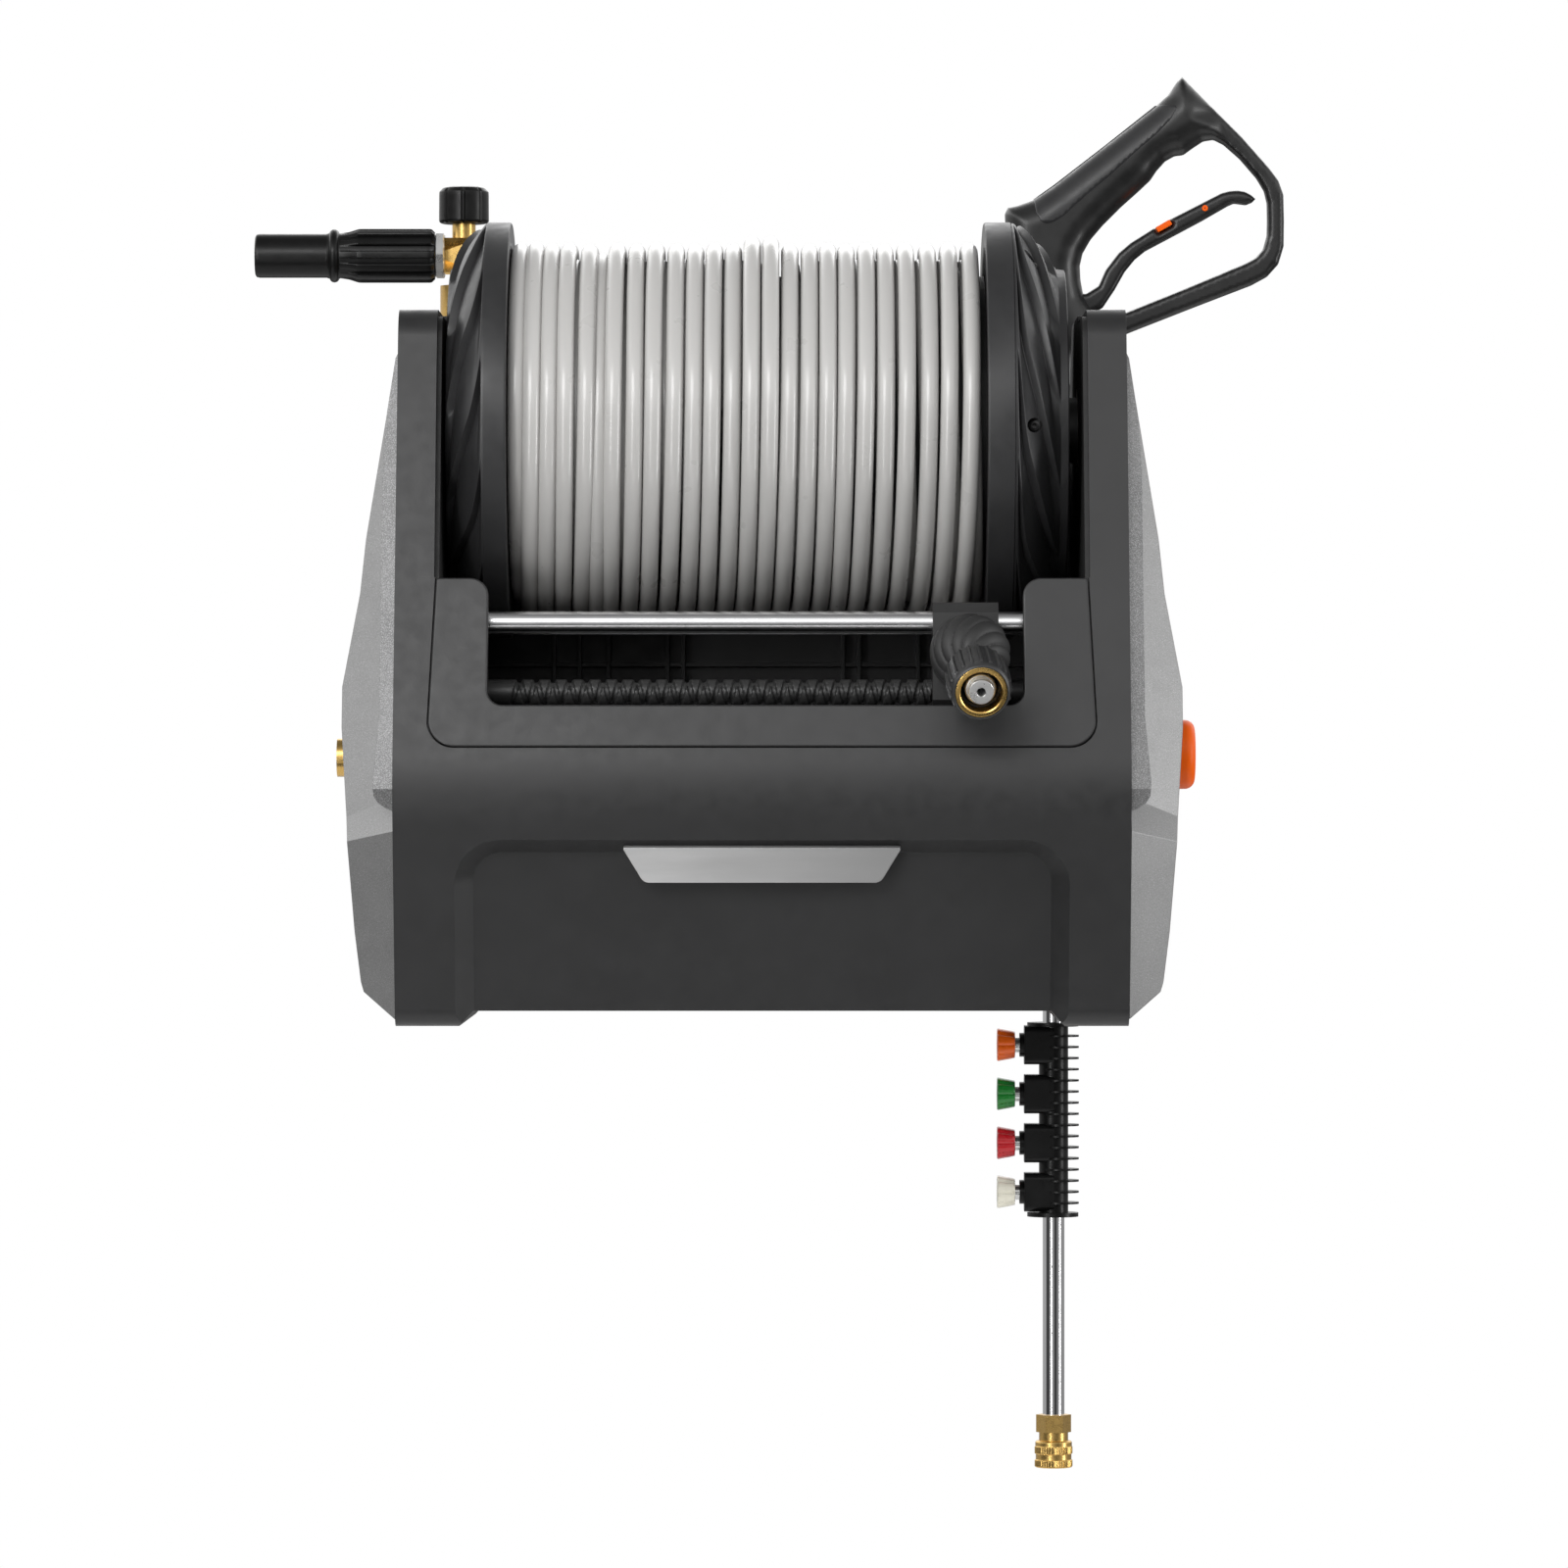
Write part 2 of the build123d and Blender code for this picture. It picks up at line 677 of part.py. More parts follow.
# ---------------------------------------------------------------- hose guide and hose end

GUIDE_FRONT, GUIDE_BACK, GUIDE_LOW, GUIDE_HIGH = -346.0, -308.0, -34.0, 36.0
CHANNEL_Z, CHANNEL_R = 7.0, 8.0
with BuildPart() as hose_guide:
    with BuildSketch(along_x(GUIDE_X - GUIDE_WIDTH / 2, 0, 0)):
        with BuildLine():
            Polyline(
                (GUIDE_FRONT, GUIDE_LOW + 12),
                (GUIDE_FRONT, GUIDE_HIGH - 6),
                (GUIDE_FRONT + 5, GUIDE_HIGH),
                (GUIDE_BACK - 10, GUIDE_HIGH),
                (GUIDE_BACK, GUIDE_HIGH - 12),
                (GUIDE_BACK, GUIDE_LOW + 6),
                (GUIDE_BACK - 6, GUIDE_LOW),
                (GUIDE_FRONT + 12, GUIDE_LOW),
                close=True,
            )
        make_face()
    extrude(amount=GUIDE_WIDTH)
    for y, z, radius in ((BAR_Y, BAR_Z, BAR_R), (SCREW_Y, SCREW_Z, SCREW_R)):
        with BuildSketch(along_x(GUIDE_X - GUIDE_WIDTH, y, z)):
            Circle(radius + RUN_FIT)
        extrude(amount=2 * GUIDE_WIDTH, mode=Mode.SUBTRACT)
    # collar that the hose stop rests against
    with BuildSketch(along_y(GUIDE_X + 1, GUIDE_FRONT, CHANNEL_Z)):
        Circle(13)
    extrude(amount=3)
    with BuildSketch(along_y(GUIDE_X + 1, 0, CHANNEL_Z)):
        Circle(CHANNEL_R)
    extrude(amount=400, mode=Mode.SUBTRACT)
    with BuildSketch(along_z(GUIDE_X, SCREW_Y, -100)):
        Circle(3)
    extrude(amount=80, mode=Mode.SUBTRACT)
finish(hose_guide, "hose_guide")

with BuildPart() as guide_pin:
    with BuildSketch(along_z(GUIDE_X, SCREW_Y, GUIDE_LOW - 2)):
        Circle(3)
    extrude(amount=SCREW_Z - SCREW_R - AIR - GUIDE_LOW + 2)
finish(guide_pin, "guide_pin")

NUT_BACK, NUT_FRONT, NUT_R, THREAD_R = 34.0, 72.0, 19.0, 11.0
STEM_R, STEM_BACK, NOSE_FRONT = 7.5, 20.0, 66.0
HOSE_BORE_R = 6.8


def on_outlet(distance):
    """A plane across the hose connector, a distance out from the ball's centre."""
    return Plane(origin=BALL + OUT_DIR * distance, x_dir=(1, 0, 0.2), z_dir=OUT_DIR)


with BuildPart() as hose_stop:
    with Locations(tuple(BALL)):
        Sphere(BALL_R)
    with BuildSketch(along_y(BALL.X, BALL.Y + 30, BALL.Z)):
        Circle(HOSE_BORE_R)
    extrude(amount=30, mode=Mode.SUBTRACT)
    with BuildSketch(on_outlet(-1)):
        Circle(HOSE_BORE_R)
    extrude(amount=STEM_BACK + 1, mode=Mode.SUBTRACT)
    with BuildSketch(on_outlet(STEM_BACK)):
        Circle(STEM_R)
    extrude(amount=10, mode=Mode.SUBTRACT)
    add(box_between((90, GUIDE_FRONT - 3.2, -40), (160, -320, 60)), mode=Mode.SUBTRACT)
finish(hose_stop, "hose_stop")

with BuildPart() as hose_connector:
    for start, end, radius in ((STEM_BACK, 44, STEM_R), (44, 62, 9.3), (62, NOSE_FRONT, 7.3)):
        with BuildSketch(on_outlet(start)):
            Circle(radius)
        extrude(amount=end - start)
    with BuildSketch(on_outlet(STEM_BACK)):
        Circle(2.25)
    extrude(amount=60, mode=Mode.SUBTRACT)
finish(hose_connector, "hose_connector")

with BuildPart() as connector_nut:
    with BuildSketch(on_outlet(NUT_BACK)):
        Circle(NUT_R)
        Circle(STEM_R + RUN_FIT, mode=Mode.SUBTRACT)
    extrude(amount=NUT_FRONT - NUT_BACK)
    with BuildSketch(on_outlet(NUT_BACK + 5)):
        Circle(THREAD_R)
    extrude(amount=NUT_FRONT - NUT_BACK, mode=Mode.SUBTRACT)
    mouth = connector_nut.edges().filter_by(GeomType.CIRCLE)
    mouth = mouth.sort_by_distance(BALL + OUT_DIR * NUT_FRONT)
    chamfer([edge for edge in mouth if abs(edge.radius - THREAD_R) < 0.01][0], 1.25)
finish(connector_nut, "connector_nut")

# ---------------------------------------------------------------- hose from the reel to the connector

ROUTE = [
    Vector(121.0, -190.0, 24.6),
    Vector(121.0, -226.0, 23.2),
    Vector(121.2, -272.0, 17.2),
    Vector(122.0, -318.0, 6.9),
    BALL,
    BALL + OUT_DIR * STEM_BACK,
]


def route_radii(points):
    """The largest arc at each inner point: 0.45 of the shorter run over tan(half the turn)."""
    radii = []
    for before, here, after in zip(points, points[1:], points[2:]):
        run_in, run_out = here - before, after - here
        turn = radians(run_in.get_angle(run_out))
        radii.append(0.45 * min(run_in.length, run_out.length) / tan(turn / 2))
    return radii


def tube(points, radius):
    """A pipe along straight runs joined by arcs."""
    with BuildPart(mode=Mode.PRIVATE) as pipe:
        with BuildLine() as path:
            FilletPolyline(*points, radius=route_radii(points))
        with BuildSketch(Plane(origin=points[0], z_dir=points[1] - points[0])):
            Circle(radius)
        sweep(path=path.wires()[0])
    return pipe.part


with BuildPart() as hose_outlet:
    add(tube(ROUTE, HOSE_D / 2))
finish(hose_outlet, "hose_outlet")

# ---------------------------------------------------------------- water: inlet, motor, pump, swivel

MOTOR_Y, MOTOR_Z, MOTOR_R = -200.0, -135.0, 50.0
MOTOR_LEFT, MOTOR_RIGHT, PUMP_RIGHT = -130.0, 40.0, 150.0
with BuildPart() as motor_case:
    with BuildSketch(along_x(MOTOR_LEFT, MOTOR_Y, MOTOR_Z)):
        Circle(MOTOR_R)
        with PolarLocations(MOTOR_R, 24):
            Rectangle(6, 3)
    extrude(amount=MOTOR_RIGHT - MOTOR_LEFT)
    with BuildSketch(along_x(MOTOR_LEFT, MOTOR_Y, MOTOR_Z)):
        Circle(5 + RUN_FIT)
    extrude(amount=20, mode=Mode.SUBTRACT)
    # feet that stand on the frame's floor
    for x in (MOTOR_LEFT + 25, MOTOR_RIGHT - 25):
        low = (x - 8, MOTOR_Y - 30, BOTTOM_Z + FLOOR_LIFT + SHELL)
        add(box_between(low, (x + 8, MOTOR_Y + 30, MOTOR_Z - 40)))
finish(motor_case, "motor_case")

with BuildPart() as motor_fan:
    with BuildSketch(along_x(MOTOR_LEFT - 4, MOTOR_Y, MOTOR_Z)):
        Circle(12)
        with PolarLocations(26, 9):
            Rectangle(34, 3)
    extrude(amount=-14)
    with BuildSketch(along_x(MOTOR_LEFT + 19, MOTOR_Y, MOTOR_Z)):
        Circle(5)
    extrude(amount=-37)
finish(motor_fan, "motor_fan")

with BuildPart() as pump_head:
    with BuildSketch(along_x(MOTOR_RIGHT, MOTOR_Y, MOTOR_Z)):
        Circle(40)
    extrude(amount=45)
    with BuildSketch(along_x(MOTOR_RIGHT + 45, MOTOR_Y, MOTOR_Z)):
        RectangleRounded(76, 76, 12)
    extrude(amount=PUMP_RIGHT - MOTOR_RIGHT - 45)
    with BuildSketch(along_x(PUMP_RIGHT, MOTOR_Y, MOTOR_Z)):
        with PolarLocations(22, 3, start_angle=90):
            RegularPolygon(10, 6)
    extrude(amount=8)
finish(pump_head, "pump_head")

with BuildPart() as inlet_fitting:
    with BuildSketch(along_x(-259, INLET_Y, INLET_Z)):
        Circle(11.6)
    extrude(amount=40)
    with BuildSketch(along_x(-219, INLET_Y, INLET_Z)):
        RegularPolygon(14, 6)
    extrude(amount=8)
    with BuildSketch(along_x(-259, INLET_Y, INLET_Z)):
        Circle(8)
    extrude(amount=48, mode=Mode.SUBTRACT)
finish(inlet_fitting, "inlet_fitting")

SUCTION_R, PRESSURE_R = 4.0, 4.5
with BuildPart() as suction_pipe:
    suction_route = [
        Vector(-211, INLET_Y, INLET_Z),
        Vector(-203, INLET_Y, INLET_Z),
        Vector(-201.5, INLET_Y + 40, INLET_Z - 2),
        Vector(-202.5, PIPE_Y - 22, PIPE_Z),
        Vector(-201, PIPE_Y, PIPE_Z - 1),
        Vector(-170, PIPE_Y, PIPE_Z),
        Vector(60, PIPE_Y + 2, PIPE_Z),
        Vector(75, PIPE_Y - 2, -85),
        Vector(75, MOTOR_Y + 38, -110),
    ]
    add(tube(suction_route, SUCTION_R))
finish(suction_pipe, "suction_pipe")

SWIVEL_BACK, SWIVEL_END = 208.0, 220.5
with BuildPart() as pressure_pipe:
    pressure_route = [
        Vector(PUMP_RIGHT, MOTOR_Y + 27, -106),
        Vector(168, MOTOR_Y + 29, -105),
        Vector(178, PIPE_Y - 6, PIPE_Z - 14),
        Vector(186, PIPE_Y, PIPE_Z),
        Vector(204, PIPE_Y, PIPE_Z + 2),
        Vector(216, PIPE_Y + 2, PIPE_Z + 20),
        Vector(216.5, PIPE_Y - 10, 40),
        Vector(216.5, DRUM_Y + 4, 100),
        Vector(216.5, DRUM_Y, DRUM_Z - 15),
    ]
    add(tube(pressure_route, PRESSURE_R))
finish(pressure_pipe, "pressure_pipe")

with BuildPart() as swivel_stem:
    with BuildSketch(along_x(150, DRUM_Y, DRUM_Z)):
        Circle(SWIVEL_R)
        Circle(4, mode=Mode.SUBTRACT)
    extrude(amount=SWIVEL_BACK + 8 - 150)
finish(swivel_stem, "swivel_stem")

with BuildPart() as swivel_body:
    swivel_profile = [
        (PLATE_OUT, 28),
        (PLATE_OUT, 36),
        (PLATE_OUT + 4, 36),
        (PLATE_OUT + 4, 32),
        (SWIVEL_BACK, 32),
        (SWIVEL_BACK, 14),
        (SWIVEL_END, 14),
        (SWIVEL_END, 0),
        (SWIVEL_BACK + 10, 0),
        (SWIVEL_BACK + 10, SWIVEL_R + RUN_FIT),
        (SWIVEL_BACK - 4, SWIVEL_R + RUN_FIT),
        (SWIVEL_BACK - 4, 28),
    ]
    add(turned(swivel_profile))
finish(swivel_body, "swivel_body")

with BuildPart() as control_box:
    add(box_between((PLATE_OUT, -262, -92), (238, -200, -16)))
    with BuildSketch(along_x(230, KNOB_Y, KNOB_Z)):
        Circle(5 + RUN_FIT)
    extrude(amount=10, mode=Mode.SUBTRACT)
finish(control_box, "control_box")

with BuildPart() as power_knob:
    with BuildSketch(along_x(246, KNOB_Y, KNOB_Z)):
        Circle(KNOB_R)
    extrude(amount=17)
    fillet(power_knob.edges().sort_by(Axis.X)[-1], 6)
    with BuildSketch(along_x(231, KNOB_Y, KNOB_Z)):
        Circle(5)
    extrude(amount=16)
finish(power_knob, "power_knob")

GLAND_X, GLAND_Z = 110.0, -165.0
with BuildPart() as cable_gland:
    with BuildSketch(Plane.XZ.offset(-BACK_Y)):
        with Locations((GLAND_X, GLAND_Z)):
            RegularPolygon(13, 6)
    extrude(amount=-9)
    with BuildSketch(Plane.XZ.offset(-BACK_Y - 9)):
        with Locations((GLAND_X, GLAND_Z)):
            Circle(9)
            Circle(4.5, mode=Mode.SUBTRACT)
    extrude(amount=-12)
finish(cable_gland, "cable_gland")

# ---------------------------------------------------------------- wall bracket, clips, screws

BOLT_X, BOLT_Z, BOLT_R = 80.0, 50.0, 4.0
with BuildPart() as wall_bracket:
    with BuildSketch(Plane.XZ):
        RectangleRounded(200, 140, 10)
        with GridLocations(2 * BOLT_X, 2 * BOLT_Z, 2, 2):
            Circle(BOLT_R, mode=Mode.SUBTRACT)
    extrude(amount=4)
    for sign in (-1, 1):
        add(box_between((sign * 52 - 3, BACK_Y, -50), (sign * 52 + 3, -4, 50)))
        add(box_between((sign * 44 - 14, BACK_Y, -50), (sign * 44 + 14, BACK_Y + 4, 50)))
finish(wall_bracket, "wall_bracket")

CLIP_HIGH, CLIP_LOW, CLIP_TALL = 120.0, -190.0, 24.0
with BuildPart() as gun_clips:
    for z in (CLIP_HIGH, CLIP_LOW):
        add(box_between((LANCE_X - 16, BACK_Y, z), (LANCE_X + 10, TOOL_Y + 13, z + CLIP_TALL)))
        with BuildSketch(Plane.XY.offset(z)):
            with Locations((LANCE_X, TOOL_Y)):
                Circle(LANCE_R + AIR)
            with Locations((LANCE_X + 10, TOOL_Y)):
                Rectangle(20, 2 * (LANCE_R + AIR))
        extrude(amount=CLIP_TALL, mode=Mode.SUBTRACT)
finish(gun_clips, "gun_clips")

PEG_TOP = 238.0
with BuildPart() as foam_holder:
    add(box_between((FOAM_X - 14, BACK_Y, 60), (FOAM_X + 14, BACK_Y + 5, 140)))
    add(box_between((FOAM_X - 10, BACK_Y, 128), (FOAM_X + 10, TOOL_Y + 10, 140)))
    add(box_between((FOAM_X - 10, TOOL_Y - 10, 140), (FOAM_X + 10, TOOL_Y + 10, 199.7)))
    with BuildSketch(along_z(FOAM_X, TOOL_Y, 199)):
        Circle(6)
    extrude(amount=PEG_TOP - 199)
finish(foam_holder, "foam_holder")

with BuildPart() as cover_screws:
    for sign in (-1, 1):
        for y, z in ((-260, -213), (-130, -213)):
            with BuildSketch(Plane.XY.offset(BOTTOM_Z)):
                with Locations((sign * 206, y)):
                    Circle(5)
            extrude(amount=-2)
    with BuildSketch(Plane.XZ.offset(-BACK_Y)):
        for sign in (-1, 1):
            with Locations((sign * 199, -140), (sign * 199, 10)):
                Circle(5)
    extrude(amount=-2)
finish(cover_screws, "cover_screws")

# ---------------------------------------------------------------- gun, lance and nozzles

GUN_OUTLINE = [
    (154.7, 292.9),
    (169.9, 296.9),
    (183.5, 306.2),
    (248.6, 357.0),
    (264.1, 375.8),
    (295.1, 352.1),
    (319.9, 321.1),
    (329.2, 300.6),
    (329.2, 268.4),
    (322.4, 256.6),
    (310.6, 246.9),
    (231.2, 213.2),
    (205.0, 201.0),
    (200.0, 172.0),
    (167.0, 172.0),
    (156.0, 230.0),
]
GUARD_HOLE = [
    (206.0, 233.0),
    (200.5, 252.3),
    (200.9, 265.9),
    (208.3, 277.9),
    (244.6, 310.2),
    (254.0, 321.5),
    (276.9, 333.7),
    (288.9, 332.9),
    (310.6, 311.5),
    (317.6, 297.0),
    (315.9, 271.1),
    (309.1, 259.1),
    (231.2, 226.8),
    (221.0, 227.0),
]
# the part of the gun that is slimmer than the grip
GUARD_SIDE = [
    (214, 180),
    (214, 229),
    (240, 245),
    (290, 334),
    (276, 340),
    (300, 400),
    (350, 400),
    (350, 180),
]
# the pocket in the gun for the trigger's root
TRIGGER_POCKET = [(198, 226), (214, 222), (226, 240), (214, 262), (200, 262), (192, 240)]
GUN_HALF, GUARD_HALF, SLOT_HALF = 16.0, 8.0, 4.6
PIVOT_X, PIVOT_Z, PIVOT_R = 198.0, 231.0, 3.0
GUN = Plane(origin=(0, TOOL_Y, 0), x_dir=(1, 0, 0), z_dir=(0, -1, 0))


def gun_face(points, radius):
    return rounded_face(GUN, points, [radius] * len(points))


with BuildPart() as gun_body:
    extrude(gun_face(GUN_OUTLINE, 2), amount=GUN_HALF, both=True)
    extrude(gun_face(GUARD_HOLE, 2), amount=GUN_HALF + 1, both=True, mode=Mode.SUBTRACT)
    # the guard is slimmer than the grip and the valve body
    for sign in (-1, 1):
        with BuildSketch(GUN.offset(sign * GUARD_HALF)):
            with BuildLine():
                Polyline(*GUARD_SIDE, close=True)
            make_face()
        extrude(amount=sign * 12, mode=Mode.SUBTRACT)
    # slot for the trigger's root, with the pivot pin left across it
    with BuildSketch(GUN):
        with Locations((PIVOT_X, PIVOT_Z)):
            Circle(12)
        with BuildLine():
            Polyline(*TRIGGER_POCKET, close=True)
        make_face()
    extrude(amount=SLOT_HALF, both=True, mode=Mode.SUBTRACT)
    with BuildSketch(GUN):
        with Locations((PIVOT_X, PIVOT_Z)):
            Circle(PIVOT_R)
    extrude(amount=GUN_HALF - 2, both=True)
    # barrel socket
    with BuildSketch(along_z(LANCE_X, TOOL_Y, 146)):
        Circle(12)
    extrude(amount=26)
    with BuildSketch(along_z(LANCE_X, TOOL_Y, 140)):
        Circle(LANCE_R)
    extrude(amount=55, mode=Mode.SUBTRACT)
finish(gun_body, "gun_body")

with BuildPart() as grip_insert:
    # soft panel on each side of the grip
    insert_points = [(192, 298), (214, 300), (256, 340), (252, 354), (243, 348)]
    for sign in (-1, 1):
        with BuildSketch(GUN.offset(sign * GUN_HALF)):
            with BuildLine():
                Polyline(*insert_points, close=True)
            make_face()
        extrude(amount=sign * 1.2)
finish(grip_insert, "grip_insert")

TRIGGER_LINE = [
    (198.0, 231.0),
    (208.0, 236.0),
    (216.0, 247.0),
    (221.5, 258.5),
    (232.0, 266.0),
    (252.6, 280.8),
    (278.4, 292.0),
    (295.0, 299.6),
    (309.0, 299.0),
]
TRIGGER_HALF = 4.0
LOCK_X, LOCK_Z = 253.0, 280.6
with BuildPart() as trigger:
    with BuildSketch(GUN):
        widths = [5.5, 5.0, 5.0, 4.6, 4.2, 4.0, 3.8, 3.4, 2.0]
        upper, lower = [], []
        for n, (x, z) in enumerate(TRIGGER_LINE):
            ahead = TRIGGER_LINE[min(n + 1, len(TRIGGER_LINE) - 1)]
            behind = TRIGGER_LINE[max(n - 1, 0)]
            along = Vector(ahead[0] - behind[0], ahead[1] - behind[1]).normalized()
            upper.append((x - along.Y * widths[n], z + along.X * widths[n]))
            lower.append((x + along.Y * widths[n], z - along.X * widths[n]))
        with BuildLine():
            Polyline(*upper, *reversed(lower), close=True)
        make_face()
        with Locations((PIVOT_X, PIVOT_Z)):
            Circle(7)
            Circle(PIVOT_R + RUN_FIT, mode=Mode.SUBTRACT)
    extrude(amount=TRIGGER_HALF, both=True)
    with BuildSketch(GUN):
        with Locations((LOCK_X, LOCK_Z)):
            Rectangle(7.0, 4.0, rotation=35)
    extrude(amount=TRIGGER_HALF + 1, both=True, mode=Mode.SUBTRACT)
finish(trigger, "trigger")

with BuildPart() as trigger_lock:
    with BuildSketch(GUN):
        with Locations((LOCK_X, LOCK_Z)):
            Rectangle(6.9, 3.9, rotation=35)
    extrude(amount=TRIGGER_HALF + 2, both=True)
finish(trigger_lock, "trigger_lock")

ROD_LOW, ROD_HIGH = -476.0, 190.0
with BuildPart() as lance_rod:
    with BuildSketch(along_z(LANCE_X, TOOL_Y, ROD_LOW)):
        Circle(LANCE_R)
        Circle(3.5, mode=Mode.SUBTRACT)
    extrude(amount=ROD_HIGH - ROD_LOW)
finish(lance_rod, "lance_rod")

HOLDER_TOP, HOLDER_LOW = -222.7, -345.4
NOZZLE_Z = [-236.9, -267.9, -298.9, -329.9]
NOZZLE_NAMES = ["nozzle_orange", "nozzle_green", "nozzle_red", "nozzle_white"]
PLUG_R = 5.8
SOCKET_LEFT = 164.9
with BuildPart() as nozzle_holder:
    for z in (HOLDER_TOP - 2.5, HOLDER_LOW):
        with BuildSketch(along_z(LANCE_X - 0.5, TOOL_Y, z)):
            Circle(16.2)
        extrude(amount=2.5)
    with BuildSketch(along_z(LANCE_X, TOOL_Y, HOLDER_LOW)):
        Circle(LANCE_R + 2.4)
    extrude(amount=HOLDER_TOP - HOLDER_LOW)
    for n in range(16):
        with BuildSketch(along_z(LANCE_X + 4, TOOL_Y, -230.6 - 7.04 * n)):
            Circle(12)
        extrude(amount=-1.2)
    for z in NOZZLE_Z:
        with BuildSketch(along_x(SOCKET_LEFT, TOOL_Y, z)):
            RectangleRounded(20, 24.5, 4)
        extrude(amount=LANCE_X - SOCKET_LEFT)
        with BuildSketch(along_x(SOCKET_LEFT - 3, TOOL_Y, z)):
            Circle(7.6)
        extrude(amount=3)
        with BuildSketch(along_x(SOCKET_LEFT - 5, TOOL_Y, z)):
            Circle(PLUG_R + RUN_FIT)
        extrude(amount=16, mode=Mode.SUBTRACT)
    with BuildSketch(along_z(LANCE_X, TOOL_Y, HOLDER_LOW - 1)):
        Circle(LANCE_R)
    extrude(amount=HOLDER_TOP - HOLDER_LOW + 2, mode=Mode.SUBTRACT)
finish(nozzle_holder, "nozzle_holder")

for nozzle_name, z in zip(NOZZLE_NAMES, NOZZLE_Z):
    with BuildPart() as nozzle:
        with BuildSketch(along_x(SOCKET_LEFT - 3.4, TOOL_Y, z)):
            Circle(PLUG_R)
        extrude(amount=14)
        with BuildSketch(along_x(159.0, TOOL_Y, z)):
            Circle(4.2)
        extrude(amount=4)
        with BuildSketch(along_x(159.0, TOOL_Y, z)):
            Circle(8.6)
        with BuildSketch(along_x(147.6, TOOL_Y, z)):
            Circle(10.5)
        loft()
    finish(nozzle, nozzle_name)

HEX_TOP, NECK_TOP, COLLAR_TOP, TIP_Z = -470.7, -481.8, -486.8, -504.1
COUPLER_R, COUPLER_BORE = 9.2, 6.0
with BuildPart() as coupler_body:
    with BuildSketch(along_z(LANCE_X, TOOL_Y, NECK_TOP)):
        RegularPolygon(9.6, 6, major_radius=False)
    extrude(amount=HEX_TOP - NECK_TOP)
    with BuildSketch(along_z(LANCE_X, TOOL_Y, TIP_Z)):
        Circle(COUPLER_R)
    extrude(amount=NECK_TOP - TIP_Z)
    with BuildSketch(along_z(LANCE_X, TOOL_Y, TIP_Z)):
        Circle(COUPLER_BORE)
    extrude(amount=20, mode=Mode.SUBTRACT)
    with BuildSketch(along_z(LANCE_X, TOOL_Y, ROD_LOW)):
        Circle(LANCE_R)
    extrude(amount=30, mode=Mode.SUBTRACT)
    with BuildSketch(along_z(LANCE_X, TOOL_Y, TIP_Z)):
        Circle(3.5)
    extrude(amount=60, mode=Mode.SUBTRACT)
finish(coupler_body, "coupler_body")

with BuildPart() as coupler_collar:
    with BuildSketch(along_z(LANCE_X, TOOL_Y, TIP_Z)):
        Circle(12)
        Circle(COUPLER_R + RUN_FIT, mode=Mode.SUBTRACT)
    extrude(amount=COLLAR_TOP - TIP_Z)
    rim = coupler_collar.edges().filter_by(GeomType.CIRCLE)
    chamfer([edge for edge in rim if abs(edge.radius - 12) < 0.01], 0.8)
finish(coupler_collar, "coupler_collar")

# ---------------------------------------------------------------- foam cannon

FOAM_SPIGOT_R = 6.0
with BuildPart() as foam_body:
    add(box_between((-201.5, TOOL_Y - 12, 251), (-178, TOOL_Y + 12, 272.7)))
    with BuildSketch(along_x(-207.1, TOOL_Y, FOAM_Z)):
        RegularPolygon(13.6, 6, major_radius=False)
    extrude(amount=5.6)
    with BuildSketch(along_x(-230, TOOL_Y, FOAM_Z)):
        Circle(FOAM_SPIGOT_R)
    extrude(amount=25)
    # plug that the gun takes
    with BuildSketch(along_x(-178, TOOL_Y, FOAM_Z)):
        Circle(5.8)
    extrude(amount=22)
    for low, high, radius in ((272.7, 282, 7.4), (243, 251, 7.2), (200, 243, 15.0)):
        with BuildSketch(along_z(FOAM_X, TOOL_Y, low)):
            Circle(radius)
        extrude(amount=high - low)
    with BuildSketch(along_z(FOAM_X, TOOL_Y, 282)):
        Circle(4)
    extrude(amount=20)
    with BuildSketch(along_z(FOAM_X, TOOL_Y, 200)):
        Circle(6.3)
    extrude(amount=PEG_TOP - 200 + 1, mode=Mode.SUBTRACT)
finish(foam_body, "foam_body")

with BuildPart() as foam_knob:
    with BuildSketch(along_z(FOAM_X, TOOL_Y, 282.3)):
        Circle(15.8)
        Circle(4 + RUN_FIT, mode=Mode.SUBTRACT)
    extrude(amount=23.3)
    with BuildSketch(along_z(FOAM_X, TOOL_Y, 302.4)):
        Circle(15.8)
    extrude(amount=3.2)
    chamfer(foam_knob.edges().sort_by(Axis.Z)[-1], 3)
finish(foam_knob, "foam_knob")

with BuildPart() as foam_nozzle:
    for left, right, radius in ((-321.2, -274.7, 13.85), (-274.7, -268, 16.5), (-268, -207.5, 17.0)):
        with BuildSketch(along_x(left, TOOL_Y, FOAM_Z)):
            Circle(radius)
        extrude(amount=right - left)
    with BuildSketch(along_x(-321.2, TOOL_Y, FOAM_Z)):
        Circle(11.4)
    extrude(amount=60, mode=Mode.SUBTRACT)
    with BuildSketch(along_x(-290, TOOL_Y, FOAM_Z)):
        Circle(FOAM_SPIGOT_R + RUN_FIT)
    extrude(amount=100, mode=Mode.SUBTRACT)
finish(foam_nozzle, "foam_nozzle")
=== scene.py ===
import bmesh
import bpy
import math
import numpy as np
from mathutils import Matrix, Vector, noise
from mathutils.geometry import delaunay_2d_cdt


